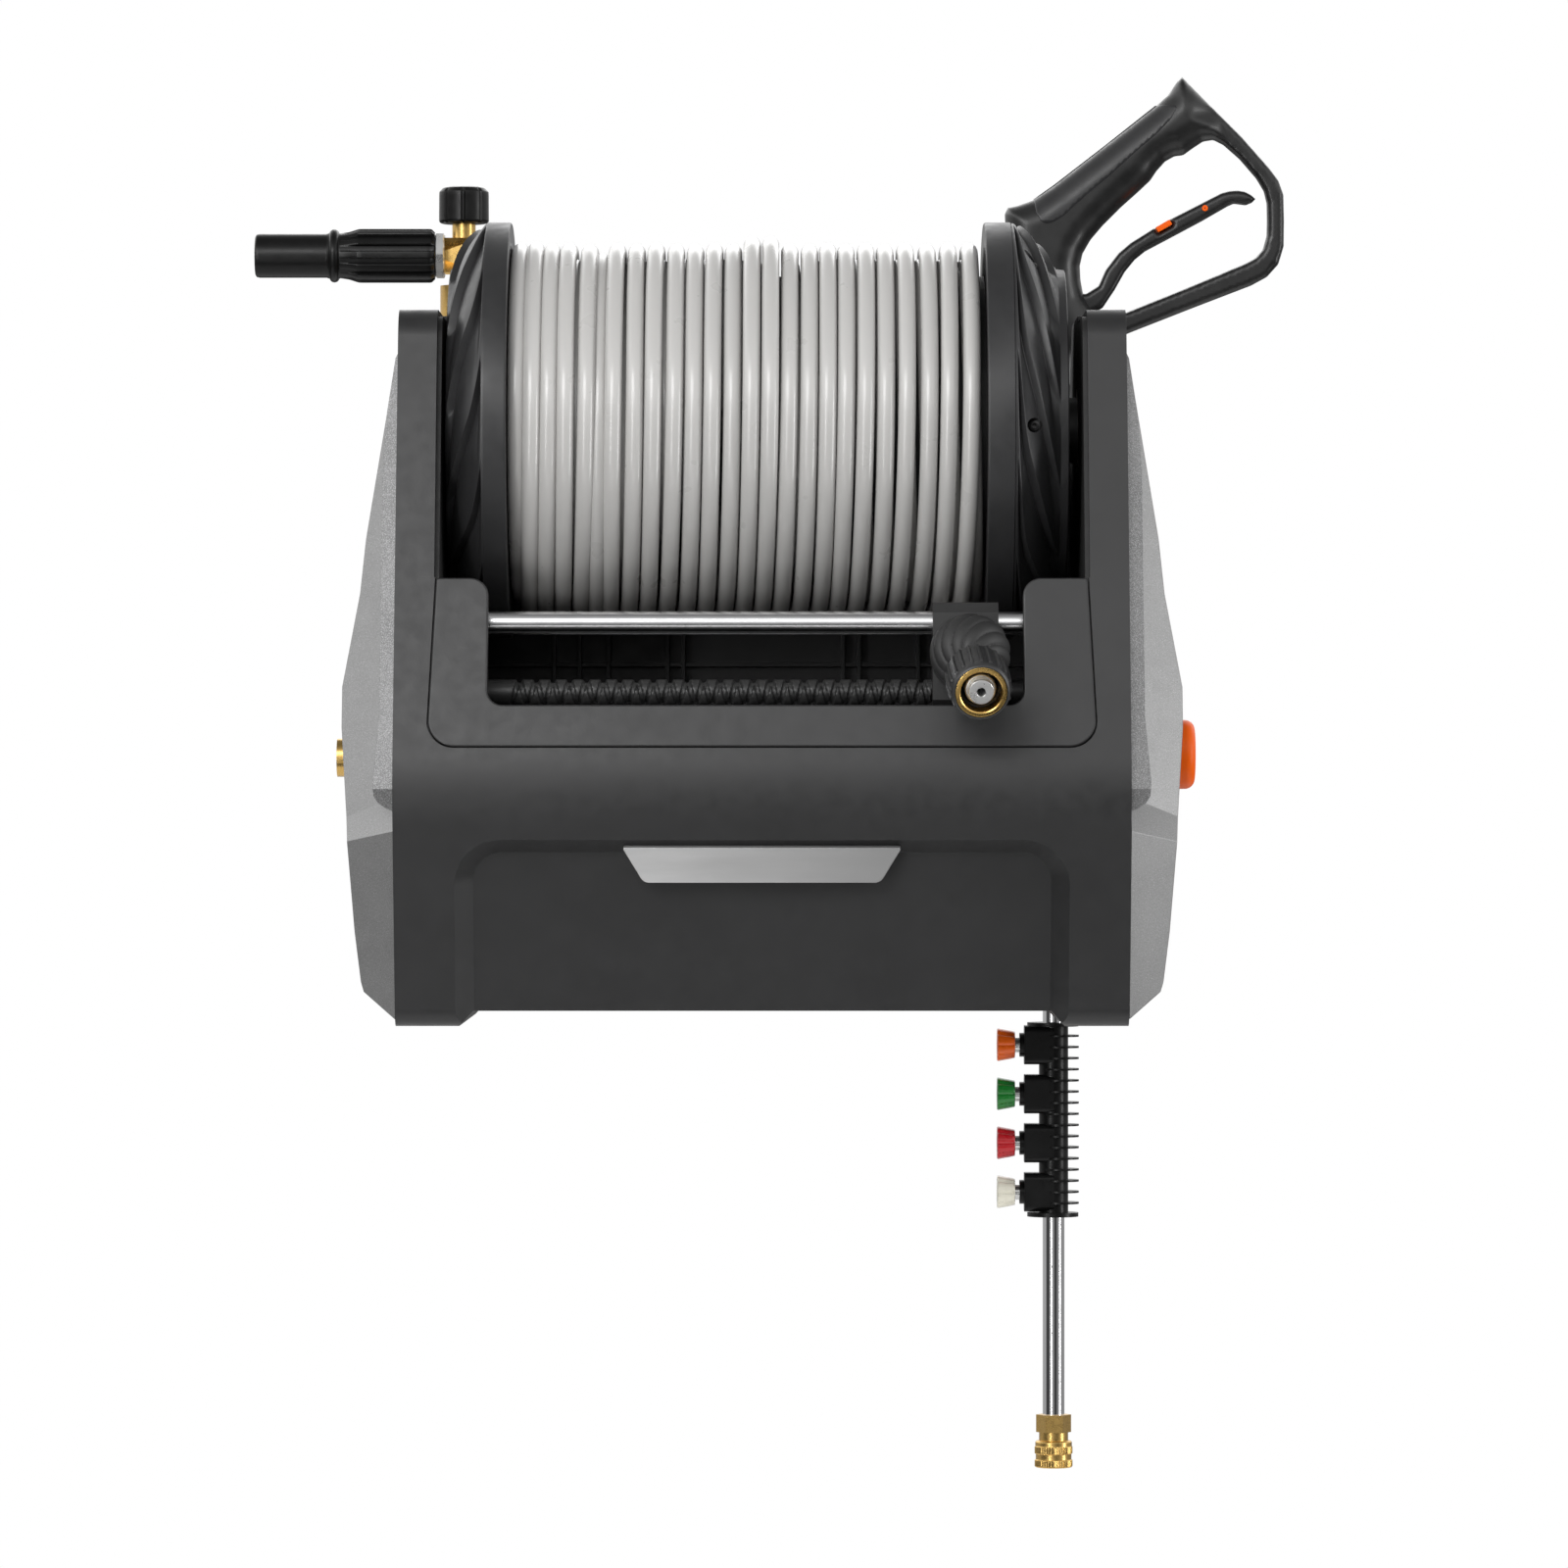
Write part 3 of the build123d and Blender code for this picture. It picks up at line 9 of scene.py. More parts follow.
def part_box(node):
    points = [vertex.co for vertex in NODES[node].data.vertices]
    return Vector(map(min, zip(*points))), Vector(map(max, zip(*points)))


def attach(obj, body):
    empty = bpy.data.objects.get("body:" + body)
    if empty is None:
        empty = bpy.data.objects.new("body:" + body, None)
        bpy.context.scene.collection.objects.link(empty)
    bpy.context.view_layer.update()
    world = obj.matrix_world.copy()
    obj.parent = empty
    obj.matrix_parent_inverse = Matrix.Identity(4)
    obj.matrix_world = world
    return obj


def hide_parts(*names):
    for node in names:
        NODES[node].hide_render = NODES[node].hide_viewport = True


# A wall mounted pressure washer with a hose reel, built around its CAD frame.
# Lengths in the helpers are in millimetres and become metres when a mesh is made.

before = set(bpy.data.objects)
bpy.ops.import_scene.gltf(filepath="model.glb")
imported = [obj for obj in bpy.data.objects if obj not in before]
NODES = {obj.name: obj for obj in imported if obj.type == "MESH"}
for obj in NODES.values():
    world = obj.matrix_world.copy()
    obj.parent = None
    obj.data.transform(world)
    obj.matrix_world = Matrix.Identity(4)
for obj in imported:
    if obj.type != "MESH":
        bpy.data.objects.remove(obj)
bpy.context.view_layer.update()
MM = 0.001
X_AXIS, Y_AXIS, Z_AXIS = Vector((1, 0, 0)), Vector((0, 1, 0)), Vector((0, 0, 1))

# ---------------------------------------------------------------- materials

COAT_ROUGHNESS = 0.15


def make_material(
    name,
    colour,
    rough,
    metal=0.0,
    mottle=0.08,
    mottle_scale=30.0,
    swing=0.05,
    grain=0.12,
    grain_scale=1500.0,
    depth=0.15,
    coat=0.0,
    specks=(),
    stretch=(1, 1, 1),
    fade=None,
    specular=0.5,
):
    """A procedural finish: mottled colour, specks, uneven roughness and a fine grain.

    fade = (from, to, colour) turns the colour into another one along X, in metres, as painted shade.
    """
    material = bpy.data.materials.new(name)
    material.use_nodes = True
    nodes, links = material.node_tree.nodes, material.node_tree.links
    shader = nodes["Principled BSDF"]
    shader.inputs["Metallic"].default_value = metal
    shader.inputs["Specular IOR Level"].default_value = specular
    shader.inputs["Coat Weight"].default_value = coat
    shader.inputs["Coat Roughness"].default_value = COAT_ROUGHNESS
    coords = nodes.new("ShaderNodeTexCoord")
    mapping = nodes.new("ShaderNodeMapping")
    mapping.inputs["Scale"].default_value = stretch
    links.new(coords.outputs["Object"], mapping.inputs["Vector"])

    def noise_node(scale, detail):
        node = nodes.new("ShaderNodeTexNoise")
        node.inputs["Scale"].default_value = scale
        node.inputs["Detail"].default_value = detail
        links.new(mapping.outputs["Vector"], node.inputs["Vector"])
        return node.outputs["Fac"]

    def spread(value, low, high, to_low, to_high):
        node = nodes.new("ShaderNodeMapRange")
        node.inputs["From Min"].default_value = low
        node.inputs["From Max"].default_value = high
        node.inputs["To Min"].default_value = to_low
        node.inputs["To Max"].default_value = to_high
        links.new(value, node.inputs["Value"])
        return node.outputs["Result"]

    def blend(factor, first, second):
        node = nodes.new("ShaderNodeMix")
        node.data_type = "RGBA"
        links.new(factor, node.inputs["Factor"])
        for socket, value in ((node.inputs["A"], first), (node.inputs["B"], second)):
            if isinstance(value, bpy.types.NodeSocket):
                links.new(value, socket)
            else:
                socket.default_value = (*value, 1)
        return node.outputs["Result"]

    broad = noise_node(mottle_scale, 4)
    dark = [max(0.0, c * (1 - mottle)) for c in colour]
    light = [min(1.0, c * (1 + mottle)) for c in colour]
    shade = blend(spread(broad, 0.35, 0.65, 0, 1), dark, light)
    for scale, low, high, speck_colour in specks:
        shade = blend(spread(noise_node(scale, 1), low, high, 0, 1), shade, speck_colour)
    # painted shade: the colour turns into the fade colour along X
    if fade:
        begin, end, other = fade
        split = nodes.new("ShaderNodeSeparateXYZ")
        links.new(coords.outputs["Object"], split.inputs[0])
        shade = blend(spread(split.outputs["X"], begin, end, 0, 1), shade, other)
    links.new(shade, shader.inputs["Base Color"])
    uneven = noise_node(mottle_scale * 4, 3)
    links.new(spread(uneven, 0.3, 0.7, rough - swing, rough + swing), shader.inputs["Roughness"])
    bump = nodes.new("ShaderNodeBump")
    bump.inputs["Strength"].default_value = grain
    bump.inputs["Distance"].default_value = depth * MM
    links.new(noise_node(grain_scale, 2), bump.inputs["Height"])
    links.new(bump.outputs["Normal"], shader.inputs["Normal"])
    return material


M = {
    "frame_black": make_material(
        "Frame_Plastic", (0.019, 0.019, 0.0195), 0.42, grain=0.14, grain_scale=1700
    ),
    "bezel_black": make_material(
        "Bezel_Plastic", (0.019, 0.019, 0.0195), 0.40, grain=0.12, grain_scale=1700
    ),
    "inner_black": make_material(
        "Inner_Plastic", (0.016, 0.016, 0.016), 0.55, grain=0.2, grain_scale=900
    ),
    "cover_silver": make_material(
        "Cover_Speckle",
        (0.25, 0.25, 0.25),
        0.36,
        metal=0.45,
        mottle=0.04,
        grain=0.14,
        grain_scale=2200,
        depth=0.12,
        specks=(
            (2300, 0.58, 0.70, (0.40, 0.40, 0.40)),
            (1900, 0.60, 0.72, (0.17, 0.17, 0.17)),
        ),
    ),
    "trim_textured": make_material(
        "Trim_Texture",
        (0.17, 0.17, 0.172),
        0.40,
        metal=0.5,
        grain=0.5,
        grain_scale=2000,
        depth=0.25,
        specks=((2100, 0.50, 0.62, (0.36, 0.36, 0.36)),),
    ),
    # the fade darkens the plate towards its right: painted shade from the light on its left
    "plate_silver": make_material(
        "Plate_Silver",
        (0.60, 0.60, 0.60),
        0.34,
        metal=0.6,
        mottle=0.12,
        mottle_scale=9,
        grain=0.08,
        grain_scale=700,
        stretch=(1, 6, 6),
        fade=(-0.05, 0.10, (0.34, 0.34, 0.34)),
    ),
    "chrome": make_material(
        "Chrome",
        (0.84, 0.84, 0.85),
        0.08,
        metal=1.0,
        mottle=0.02,
        swing=0.01,
        grain=0.004,
        grain_scale=500,
    ),
    "steel": make_material(
        "Turned_Steel",
        (0.66, 0.66, 0.65),
        0.22,
        metal=1.0,
        mottle=0.05,
        swing=0.06,
        grain=0.06,
        grain_scale=900,
    ),
    "plated_steel": make_material(
        "Plated_Steel", (0.88, 0.88, 0.87), 0.30, metal=0.9, mottle=0.02, grain=0.02
    ),
    "bar_steel": make_material(
        "Bar_Chrome", (0.84, 0.84, 0.85), 0.20, metal=1.0, mottle=0.02, swing=0.02, grain=0.02
    ),
    "bracket_steel": make_material(
        "Bracket_Steel", (0.03, 0.03, 0.031), 0.5, grain=0.3, grain_scale=700
    ),
    "spring_steel": make_material(
        "Spring_Steel", (0.22, 0.22, 0.25), 0.3, metal=1.0, grain=0.05
    ),
    "screw_steel": make_material("Black_Screws", (0.03, 0.03, 0.03), 0.32, metal=0.7, grain=0.1),
    "brass": make_material(
        "Brass",
        (0.66, 0.43, 0.14),
        0.28,
        metal=1.0,
        mottle=0.05,
        mottle_scale=60,
        swing=0.03,
        grain=0.015,
        grain_scale=900,
    ),
    "motor_grey": make_material(
        "Cast_Grey", (0.33, 0.33, 0.34), 0.45, metal=0.7, grain=0.4, grain_scale=600
    ),
    "pump_alloy": make_material(
        "Cast_Alloy", (0.5, 0.5, 0.5), 0.4, metal=0.9, grain=0.4, grain_scale=600
    ),
    "rubber_black": make_material(
        "Black_Rubber", (0.022, 0.022, 0.022), 0.55, grain=0.25, grain_scale=1200
    ),
    "bearing_plastic": make_material("Acetal", (0.62, 0.60, 0.55), 0.42, mottle=0.03, grain=0.05),
    "flange_black": make_material(
        "Flange_Plastic", (0.024, 0.024, 0.025), 0.40, grain=0.10, grain_scale=1600
    ),
    "hose_grey": make_material(
        "Hose_Jacket",
        (0.53, 0.522, 0.508),
        0.30,
        mottle=0.012,
        mottle_scale=14,
        swing=0.03,
        grain=0.02,
        grain_scale=900,
        depth=0.1,
        coat=0.6,
    ),
    "screw_black": make_material(
        "Screw_Acetal", (0.030, 0.030, 0.030), 0.40, grain=0.1, grain_scale=900
    ),
    "guide_black": make_material(
        "Guide_Plastic", (0.028, 0.028, 0.028), 0.45, grain=0.18, grain_scale=1500
    ),
    "nut_black": make_material(
        "Nut_Plastic", (0.030, 0.030, 0.031), 0.36, grain=0.1, grain_scale=1500
    ),
    "orange": make_material(
        "Orange_Plastic", (1.0, 0.13, 0.0), 0.42, mottle=0.02, grain=0.06, specular=0.25
    ),
    # black plastic made darker than the others: its own black with painted shade, for the foam
    # cannon in shade at the back and for the nozzle holder
    "black_painted_shade": make_material(
        "Black_Plastic_Painted_Shade", (0.005, 0.005, 0.005), 0.32, grain=0.05, grain_scale=1500, specular=0.25
    ),
    "gun_black": make_material(
        "Gun_Plastic", (0.013, 0.013, 0.013), 0.34, grain=0.05, grain_scale=1500
    ),
    "grip_rubber": make_material(
        "Grip_Rubber", (0.020, 0.020, 0.021), 0.36, grain=0.06, grain_scale=1500
    ),
    "tip_orange": make_material(
        "Tip_Orange", (0.86, 0.13, 0.006), 0.28, mottle=0.05, grain=0.06, coat=0.3
    ),
    "tip_green": make_material(
        "Tip_Green", (0.012, 0.22, 0.028), 0.28, mottle=0.05, grain=0.06, coat=0.3
    ),
    "tip_red": make_material(
        "Tip_Red", (0.56, 0.010, 0.018), 0.28, mottle=0.05, grain=0.06, coat=0.3
    ),
    "tip_white": make_material(
        "Tip_Ivory", (0.86, 0.83, 0.70), 0.28, mottle=0.04, grain=0.06, coat=0.3
    ),
}

# ---------------------------------------------------------------- mesh helpers

# edges sharper than this stay hard; corners nearer than WELD metres are one; faces within FLAT merge
SHARP, WELD, FLAT = math.radians(32), 2e-6, math.radians(0.5)


def add_piece(bm, name, material, body, replaces=(), sharp=SHARP, weighted=True):
    """Links a bmesh in millimetres as a piece that rides on a body."""
    bmesh.ops.recalc_face_normals(bm, faces=bm.faces)
    for vert in bm.verts:
        vert.co *= MM
    return link_piece(bm, name, material, body, replaces, sharp, weighted)


def link_piece(bm, name, material, body, replaces=(), sharp=SHARP, weighted=True):
    """Links a bmesh in metres as a piece that rides on a body."""
    for face in bm.faces:
        face.smooth = True
    for edge in bm.edges:
        edge.smooth = edge.calc_face_angle(0) < sharp
    mesh = bpy.data.meshes.new(name)
    bm.to_mesh(mesh)
    bm.free()
    mesh.materials.append(M[material])
    piece = bpy.data.objects.new(name, mesh)
    bpy.context.scene.collection.objects.link(piece)
    if weighted:
        normals = piece.modifiers.new("Normals", "WEIGHTED_NORMAL")
        normals.keep_sharp = True
    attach(piece, body)
    if replaces:
        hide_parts(*replaces)
    return piece


def softened(node, width, material, body, segments=2, least=28.0, change=None):
    """A CAD node's own shape with its hard edges rounded."""
    bm = bmesh.new()
    bm.from_mesh(NODES[node].data)
    bmesh.ops.remove_doubles(bm, verts=bm.verts, dist=WELD)
    if change:
        change(bm)
    bmesh.ops.dissolve_limit(bm, angle_limit=FLAT, verts=bm.verts, edges=bm.edges)
    hard = [e for e in bm.edges if e.is_manifold and e.calc_face_angle(0) > math.radians(least)]
    bmesh.ops.bevel(
        bm,
        geom=hard,
        offset=width * MM,
        offset_type="OFFSET",
        segments=segments,
        profile=0.5,
        affect="EDGES",
        clamp_overlap=True,
    )
    return link_piece(bm, node + "_piece", material, body, (node,))


def dress(node, material):
    """A CAD node that stays as it is gets its finish."""
    slots = NODES[node].data.materials
    slots.clear()
    slots.append(M[material])


def rounded(points, radius, steps=3):
    """A closed profile with every corner cut by a small curve."""
    result = []
    count = len(points)
    for n, here in enumerate(points):
        here = Vector(here)
        before, after = Vector(points[n - 1]), Vector(points[(n + 1) % count])
        back, ahead = before - here, after - here
        reach = min(radius, 0.45 * back.length, 0.45 * ahead.length)
        start, end = here + back.normalized() * reach, here + ahead.normalized() * reach
        for k in range(steps + 1):
            t = k / steps
            point = start * (1 - t) ** 2 + here * 2 * t * (1 - t) + end * t**2
            result.append((point.x, point.y))
    return result


def lathe(bm, profile, origin, axis, across, segments=64, shape=None, closed=True):
    """Turns (along, radius) points about an axis.

    shape may move each point, and a point's third value turns it about the axis.
    """
    axis = axis.normalized()
    u = (across - axis * across.dot(axis)).normalized()
    v = axis.cross(u)
    rings = []
    for j in range(segments):
        ring = []
        for along, radius, *twist in profile:
            angle = 2 * math.pi * j / segments + sum(twist)
            if shape:
                along, radius = shape(along, radius, angle)
            out = u * math.cos(angle) + v * math.sin(angle)
            ring.append(bm.verts.new(origin + axis * along + out * radius))
        rings.append(ring)
    count = len(profile)
    spans = count if closed else count - 1
    for j in range(segments):
        one, two = rings[j], rings[(j + 1) % segments]
        for i in range(spans):
            k = (i + 1) % count
            bm.faces.new((one[i], one[k], two[k], two[i]))
    if not closed:
        for i in (0, count - 1):
            along = shape(*profile[i], 0)[0] if shape else profile[i][0]
            middle = bm.verts.new(origin + axis * along)
            for j in range(segments):
                bm.faces.new((rings[j][i], rings[(j + 1) % segments][i], middle))
    return bm


def turned(name, profile, origin, axis, across, material, body, replaces=(), **more):
    """A lathed piece; more holds the lathe's own arguments, and a slot, which is not used."""
    shape_args = {k: more[k] for k in ("segments", "shape", "closed") if k in more}
    bm = lathe(bmesh.new(), profile, Vector(origin), Vector(axis), Vector(across), **shape_args)
    return add_piece(bm, name, material, body, replaces)


def smooth_step(low, high, value):
    """0 below low, 1 above high, and a smooth climb between."""
    t = min(1.0, max(0.0, (value - low) / (high - low)))
    return t * t * (3 - 2 * t)


def curve_through(points, steps):
    """An open Catmull-Rom line through points."""
    result = []
    last = len(points) - 1
    for n in range(last):
        p1, p2 = Vector(points[n]), Vector(points[n + 1])
        p0 = Vector(points[n - 1]) if n else p1 * 2 - p2
        p3 = Vector(points[n + 2]) if n + 2 <= last else p2 * 2 - p1
        for k in range(steps):
            t = k / steps
            point = 0.5 * (
                2 * p1
                + (p2 - p0) * t
                + (2 * p0 - 5 * p1 + 4 * p2 - p3) * t**2
                + (3 * p1 - p0 - 3 * p2 + p3) * t**3
            )
            result.append(tuple(point))
    result.append(tuple(points[-1]))
    return result


# ---------------------------------------------------------------- the housing

softened("front_frame", 1.6, "frame_black", "frame", segments=3)
softened("rear_cover", 1.4, "frame_black", "frame")
softened("front_bezel", 0.5, "bezel_black", "frame")
softened("right_cover", 1.2, "cover_silver", "frame", segments=3, least=12)
softened("left_cover", 1.2, "cover_silver", "frame", segments=3, least=12)
softened("edge_trims", 2.0, "trim_textured", "frame", segments=3, least=20)
softened("name_plate", 0.5, "plate_silver", "frame")
softened("wall_bracket", 0.6, "bracket_steel", "frame")
softened("hose_guide", 1.0, "guide_black", "guide")
softened("gun_clips", 0.8, "frame_black", "frame")
softened("foam_holder", 0.8, "frame_black", "frame")
softened("inlet_fitting", 0.6, "brass", "frame")
softened("power_knob", 0.8, "orange", "knob")

for node, finish in {
    "left_side_plate": "inner_black",
    "right_side_plate": "inner_black",
    "guide_bar": "bar_steel",
    "motor_case": "motor_grey",
    "pump_head": "pump_alloy",
    "suction_pipe": "rubber_black",
    "pressure_pipe": "rubber_black",
    "swivel_body": "brass",
    "control_box": "inner_black",
    "arbor": "steel",
    "arbor_bracket": "bracket_steel",
    "drum_bearings": "bearing_plastic",
    "screw_bushes": "bearing_plastic",
    "cable_gland": "inner_black",
    "cover_screws": "screw_steel",
    "drum_core": "inner_black",
    "drum_gear": "bearing_plastic",
    "mainspring": "spring_steel",
    "swivel_stem": "brass",
    "idler_gear": "bearing_plastic",
    "screw_gear": "bearing_plastic",
    "guide_pin": "brass",
    "motor_fan": "bearing_plastic",
    "lance_rod": "chrome",
    "coupler_body": "brass",
    "nozzle_holder": "black_painted_shade",
}.items():
    dress(node, finish)

# ---------------------------------------------------------------- the reel's flanges

DRUM = Vector((0, -212, 144))
FRONT_OF_DRUM = Vector((0, -1, 0))
FLUTES, FLUTE_DEPTH, HUB_R = 12, 5.4, 60
DOME_STEPS, FLANGE_SEGMENTS = 7, 360
# the right flange's screws: their place along the axis, and the holes' floor and radius
SCREW_X, SCREW_FLOOR, SCREW_HOLE = 162.5, 112.0, 4.5
HOLE_TOP = SCREW_FLOOR + 20


def screw_lines():
    """The directions of the flange's screw holes, out from the drum's axis."""
    for n in range(6):
        angle = math.radians(60 * n - 1)
        yield Vector((0, -math.cos(angle), math.sin(angle)))


def recessed(bm):
    """Cuts the screw holes into the right flange."""
    cutter = bmesh.new()
    for out in screw_lines():
        walls = [(SCREW_FLOOR, SCREW_HOLE), (HOLE_TOP, SCREW_HOLE)]
        lathe(cutter, walls, DRUM + X_AXIS * SCREW_X, out, X_AXIS, segments=40, closed=False)
    pair = []
    for part in (bm, cutter):
        bmesh.ops.recalc_face_normals(part, faces=part.faces)
        mesh = bpy.data.meshes.new("Cut")
        part.to_mesh(mesh)
        item = bpy.data.objects.new("Cut", mesh)
        bpy.context.scene.collection.objects.link(item)
        pair.append(item)
    cut = pair[0].modifiers.new("Cut", "BOOLEAN")
    cut.object, cut.operation, cut.solver = pair[1], "DIFFERENCE", "EXACT"
    depsgraph = bpy.context.evaluated_depsgraph_get()
    result = bpy.data.meshes.new_from_object(pair[0].evaluated_get(depsgraph))
    bm.clear()
    bm.from_mesh(result)
    cutter.free()
    for item in pair:
        bpy.data.objects.remove(item)


def flange(name, side, outer, inner, crease_at, sweep, node):
    """A domed flange with overlapping flutes, each turning by sweep from the rim to the hub."""
    dome = curve_through(outer, DOME_STEPS)
    # how far each of the dome's rings is from the rim to the hub, found by its place on the axis
    share_at = {round(point[0], 4): n / (len(dome) - 1) for n, point in enumerate(dome)}

    def flute(along, radius, angle):
        share = share_at.get(round(along, 4))
        if share is None or radius < HUB_R:
            return along, radius
        # the angle starts at the front, and on the right flange it grows downwards
        up = -angle * side
        crease = crease_at - sweep * share
        phase = ((crease - up) / (2 * math.pi / FLUTES)) % 1.0
        depth = FLUTE_DEPTH * (1 - phase) ** 1.3 * smooth_step(0.0, 0.07, phase)
        depth *= smooth_step(0.05, 0.28, share) * (1 - smooth_step(0.90, 1.0, share))
        lean = 0.45 + 0.45 * share
        return along - depth * lean, radius - depth * (1 - 0.55 * share)

    # the mesh turns with the flutes, and turns back over the hidden faces
    turn = side * sweep
    profile = [(x, r, turn * n / (len(dome) - 1)) for n, (x, r) in enumerate(dome)]
    profile += [(x, r, turn * (1 - (n + 1) / (len(inner) + 1))) for n, (x, r) in enumerate(inner)]
    bm = lathe(
        bmesh.new(),
        profile,
        DRUM,
        Vector((side, 0, 0)),
        FRONT_OF_DRUM,
        segments=FLANGE_SEGMENTS,
        shape=flute,
    )
    if side > 0:
        recessed(bm)
    add_piece(bm, name, "flange_black", "drum", (node,))


def mirrored(points):
    """Distances along an axis that points left."""
    return [(-x, r) for x, r in points]


RIGHT_DOME = [(151.4, 126.6), (154.5, 126.0), (158, 124.5), (166, 118), (173, 109), (179, 98.6)]
RIGHT_REST = (
    [(183.4, 98), (184, 97.4), (184, 93.4), (183.4, 92.8), (181.5, 92), (181.5, 20), (200, 20)]
    + [(200, 8), (178, 8), (176, 88), (164, 100), (152, 109), (147, 115), (143, 119), (138.7, 119)]
    + [(138.7, 94.3), (134.7, 94.3), (134.7, 125.8), (135.1, 126.6), (135.9, 127), (150.7, 127)]
    + [(151.1, 126.2), (151.3, 126.2)]
)
flange("Right_Flange", 1, RIGHT_DOME, RIGHT_REST, math.radians(27.7), 1.40, "right_flange")
LEFT_DOME = mirrored(
    [(-167.0, 126.9), (-169.5, 126.2), (-174, 123.5), (-181, 116.5), (-186.5, 108), (-190, 98)]
)
LEFT_REST = mirrored(
    [(-190, 20), (-209, 20), (-209, 14), (-184, 14), (-183.5, 90), (-180, 100), (-174, 109)]
    + [(-168, 116), (-162, 119), (-157, 119), (-157, 94.3), (-153, 94.3), (-153, 125.8)]
    + [(-153.4, 126.6), (-154.2, 127), (-166.0, 127)]
)
flange("Left_Flange", -1, LEFT_DOME, LEFT_REST, math.radians(24), 0.90, "left_flange")

SCREW_HEAD = (
    [(-9, 0.6), (-9, 1.9), (-0.1, 1.9), (-0.1, 3.7), (1.0, 3.8), (2.0, 3.3), (2.5, 2.2), (2.4, 1.4)]
    + [(0.9, 1.2), (0.7, 0.6)]
)
screws = bmesh.new()
screw_line = [(SCREW_FLOOR + along, radius) for along, radius in SCREW_HEAD]
for out in screw_lines():
    lathe(screws, screw_line, DRUM + X_AXIS * SCREW_X, out, X_AXIS, segments=32)
add_piece(screws, "Flange_Screws", "screw_steel", "drum", ("flange_screws",))

# ---------------------------------------------------------------- the hose

HOSE_D = 10.7
TURN_POINTS = 18
# a spline runs inside its control points, so they lie further out by this factor
NURBS_PULL = 1 / math.cos(math.pi / TURN_POINTS)
LOWER_TURNS = 21
LOWER_R, OUTER_R = 99.4, 108.9
# the winding's inner end, the left end of both layers, and where the hose leaves the reel
INNER_X, LEFT_X, LEAVING_X = 129.2, -147.4, 121.0
LEAVING_RISE = 3.2
WANDER_X, WANDER_R = 0.9, 0.35
# where each outer turn crosses the top of the reel, and how far it stands off the others
OUTER_TOPS = [
    (LEFT_X, 0.0),
    (-138.0, 0.8),
    (-128.0, -0.3),
    (-117.6, 0.5),
    (-105.4, -0.4),
    (-97.6, -6.0),
    (-88.4, 0.3),
    (-76.4, -0.4),
    (-64.8, 0.6),
    (-52.6, -0.3),
    (-40.6, -0.6),
    (-29.2, 0.4),
    (-18.0, -0.4),
    (-6.4, 4.3),
    (5.2, 4.5),
    (16.2, -0.2),
    (28.4, -0.5),
    (39.6, 0.5),
    (50.6, -0.2),
    (62.4, 0.4),
    (74.2, -0.4),
    (86.8, 0.5),
    (100.0, -0.2),
    (112.6, 0.6),
    (125.6, 0.2),
]
FIRST_TOP = LOWER_TURNS + 0.5
LAST_TURN = FIRST_TOP + len(OUTER_TOPS) - 1 + 0.47


def between_tops(place, column):
    """An outer turn's value between one crossing of the top and the next."""
    place = min(max(place, 0.0), len(OUTER_TOPS) - 1.0)
    n = min(int(place), len(OUTER_TOPS) - 2)
    share = smooth_step(0.18, 0.82, place - n)
    return OUTER_TOPS[n][column] * (1 - share) + OUTER_TOPS[n + 1][column] * share


def winding_point(turn):
    """A point of the wound hose, counted in turns from its inner end."""
    climb = smooth_step(LOWER_TURNS - 0.1, LOWER_TURNS + 0.4, turn)
    place = turn - FIRST_TOP
    lower_x = INNER_X - (INNER_X - LEFT_X) * min(turn, LOWER_TURNS) / LOWER_TURNS
    x = lower_x * (1 - climb) + between_tops(place, 0) * climb
    height = 0.5 - 0.5 * math.cos(2 * math.pi * turn)
    outer_r = OUTER_R + between_tops(place, 1) * smooth_step(0.0, 0.7, height)
    radius = LOWER_R * (1 - climb) + outer_r * climb
    wander = noise.noise(Vector((turn * 2.3, 4.2, 0.7)))
    # the turns against the flanges don't wander
    if -146 < x < 125:
        x += WANDER_X * wander
    radius += WANDER_R * noise.noise(Vector((turn * 1.7, 9.1, 3.3)))
    leave = smooth_step(LAST_TURN - 0.16, LAST_TURN, turn)
    radius += LEAVING_RISE * leave
    x += (LEAVING_X - x) * leave
    angle = 2 * math.pi * turn
    reach = radius * NURBS_PULL
    return Vector((x, DRUM.y - reach * math.sin(angle), DRUM.z - reach * math.cos(angle)))


def hose_curve(name, points, body, replaces):
    """A hose along a smooth spline with these control points."""
    data = bpy.data.curves.new(name, "CURVE")
    data.dimensions = "3D"
    data.bevel_depth = HOSE_D / 2 * MM
    data.bevel_resolution = 6
    data.resolution_u = 5
    data.use_fill_caps = True
    spline = data.splines.new("NURBS")
    spline.points.add(len(points) - 1)
    for point, place in zip(spline.points, points):
        point.co = (*(Vector(place) * MM), 1)
    spline.order_u = 3
    spline.use_endpoint_u = True
    data.materials.append(M["hose_grey"])
    hose = bpy.data.objects.new(name, data)
    bpy.context.scene.collection.objects.link(hose)
    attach(hose, body)
    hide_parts(replaces)
    return hose


winding_count = int(LAST_TURN * TURN_POINTS) + 1
winding_points = [winding_point(n / TURN_POINTS) for n in range(winding_count)]
winding = hose_curve("Hose_Winding", winding_points, "drum", "hose_winding")

BALL = Vector((123.0, -372.0, 5.0))
OUT_DIR = Vector((0.07, -0.94, -0.33)).normalized()
ROUTE = [
    (LEAVING_X, -190.0, 24.6),
    (LEAVING_X, -226.0, 23.2),
    (121.2, -272.0, 17.2),
    (122.0, -318.0, 6.9),
    BALL,
    BALL + OUT_DIR * 20,
]
outlet = hose_curve("Hose_Outlet", ROUTE, "guide", "hose_outlet")

# ---------------------------------------------------------------- hose stop, nut and connector

STOP_BANDS, STOP_R, STOP_GROOVE = 11, 24.0, 2.0


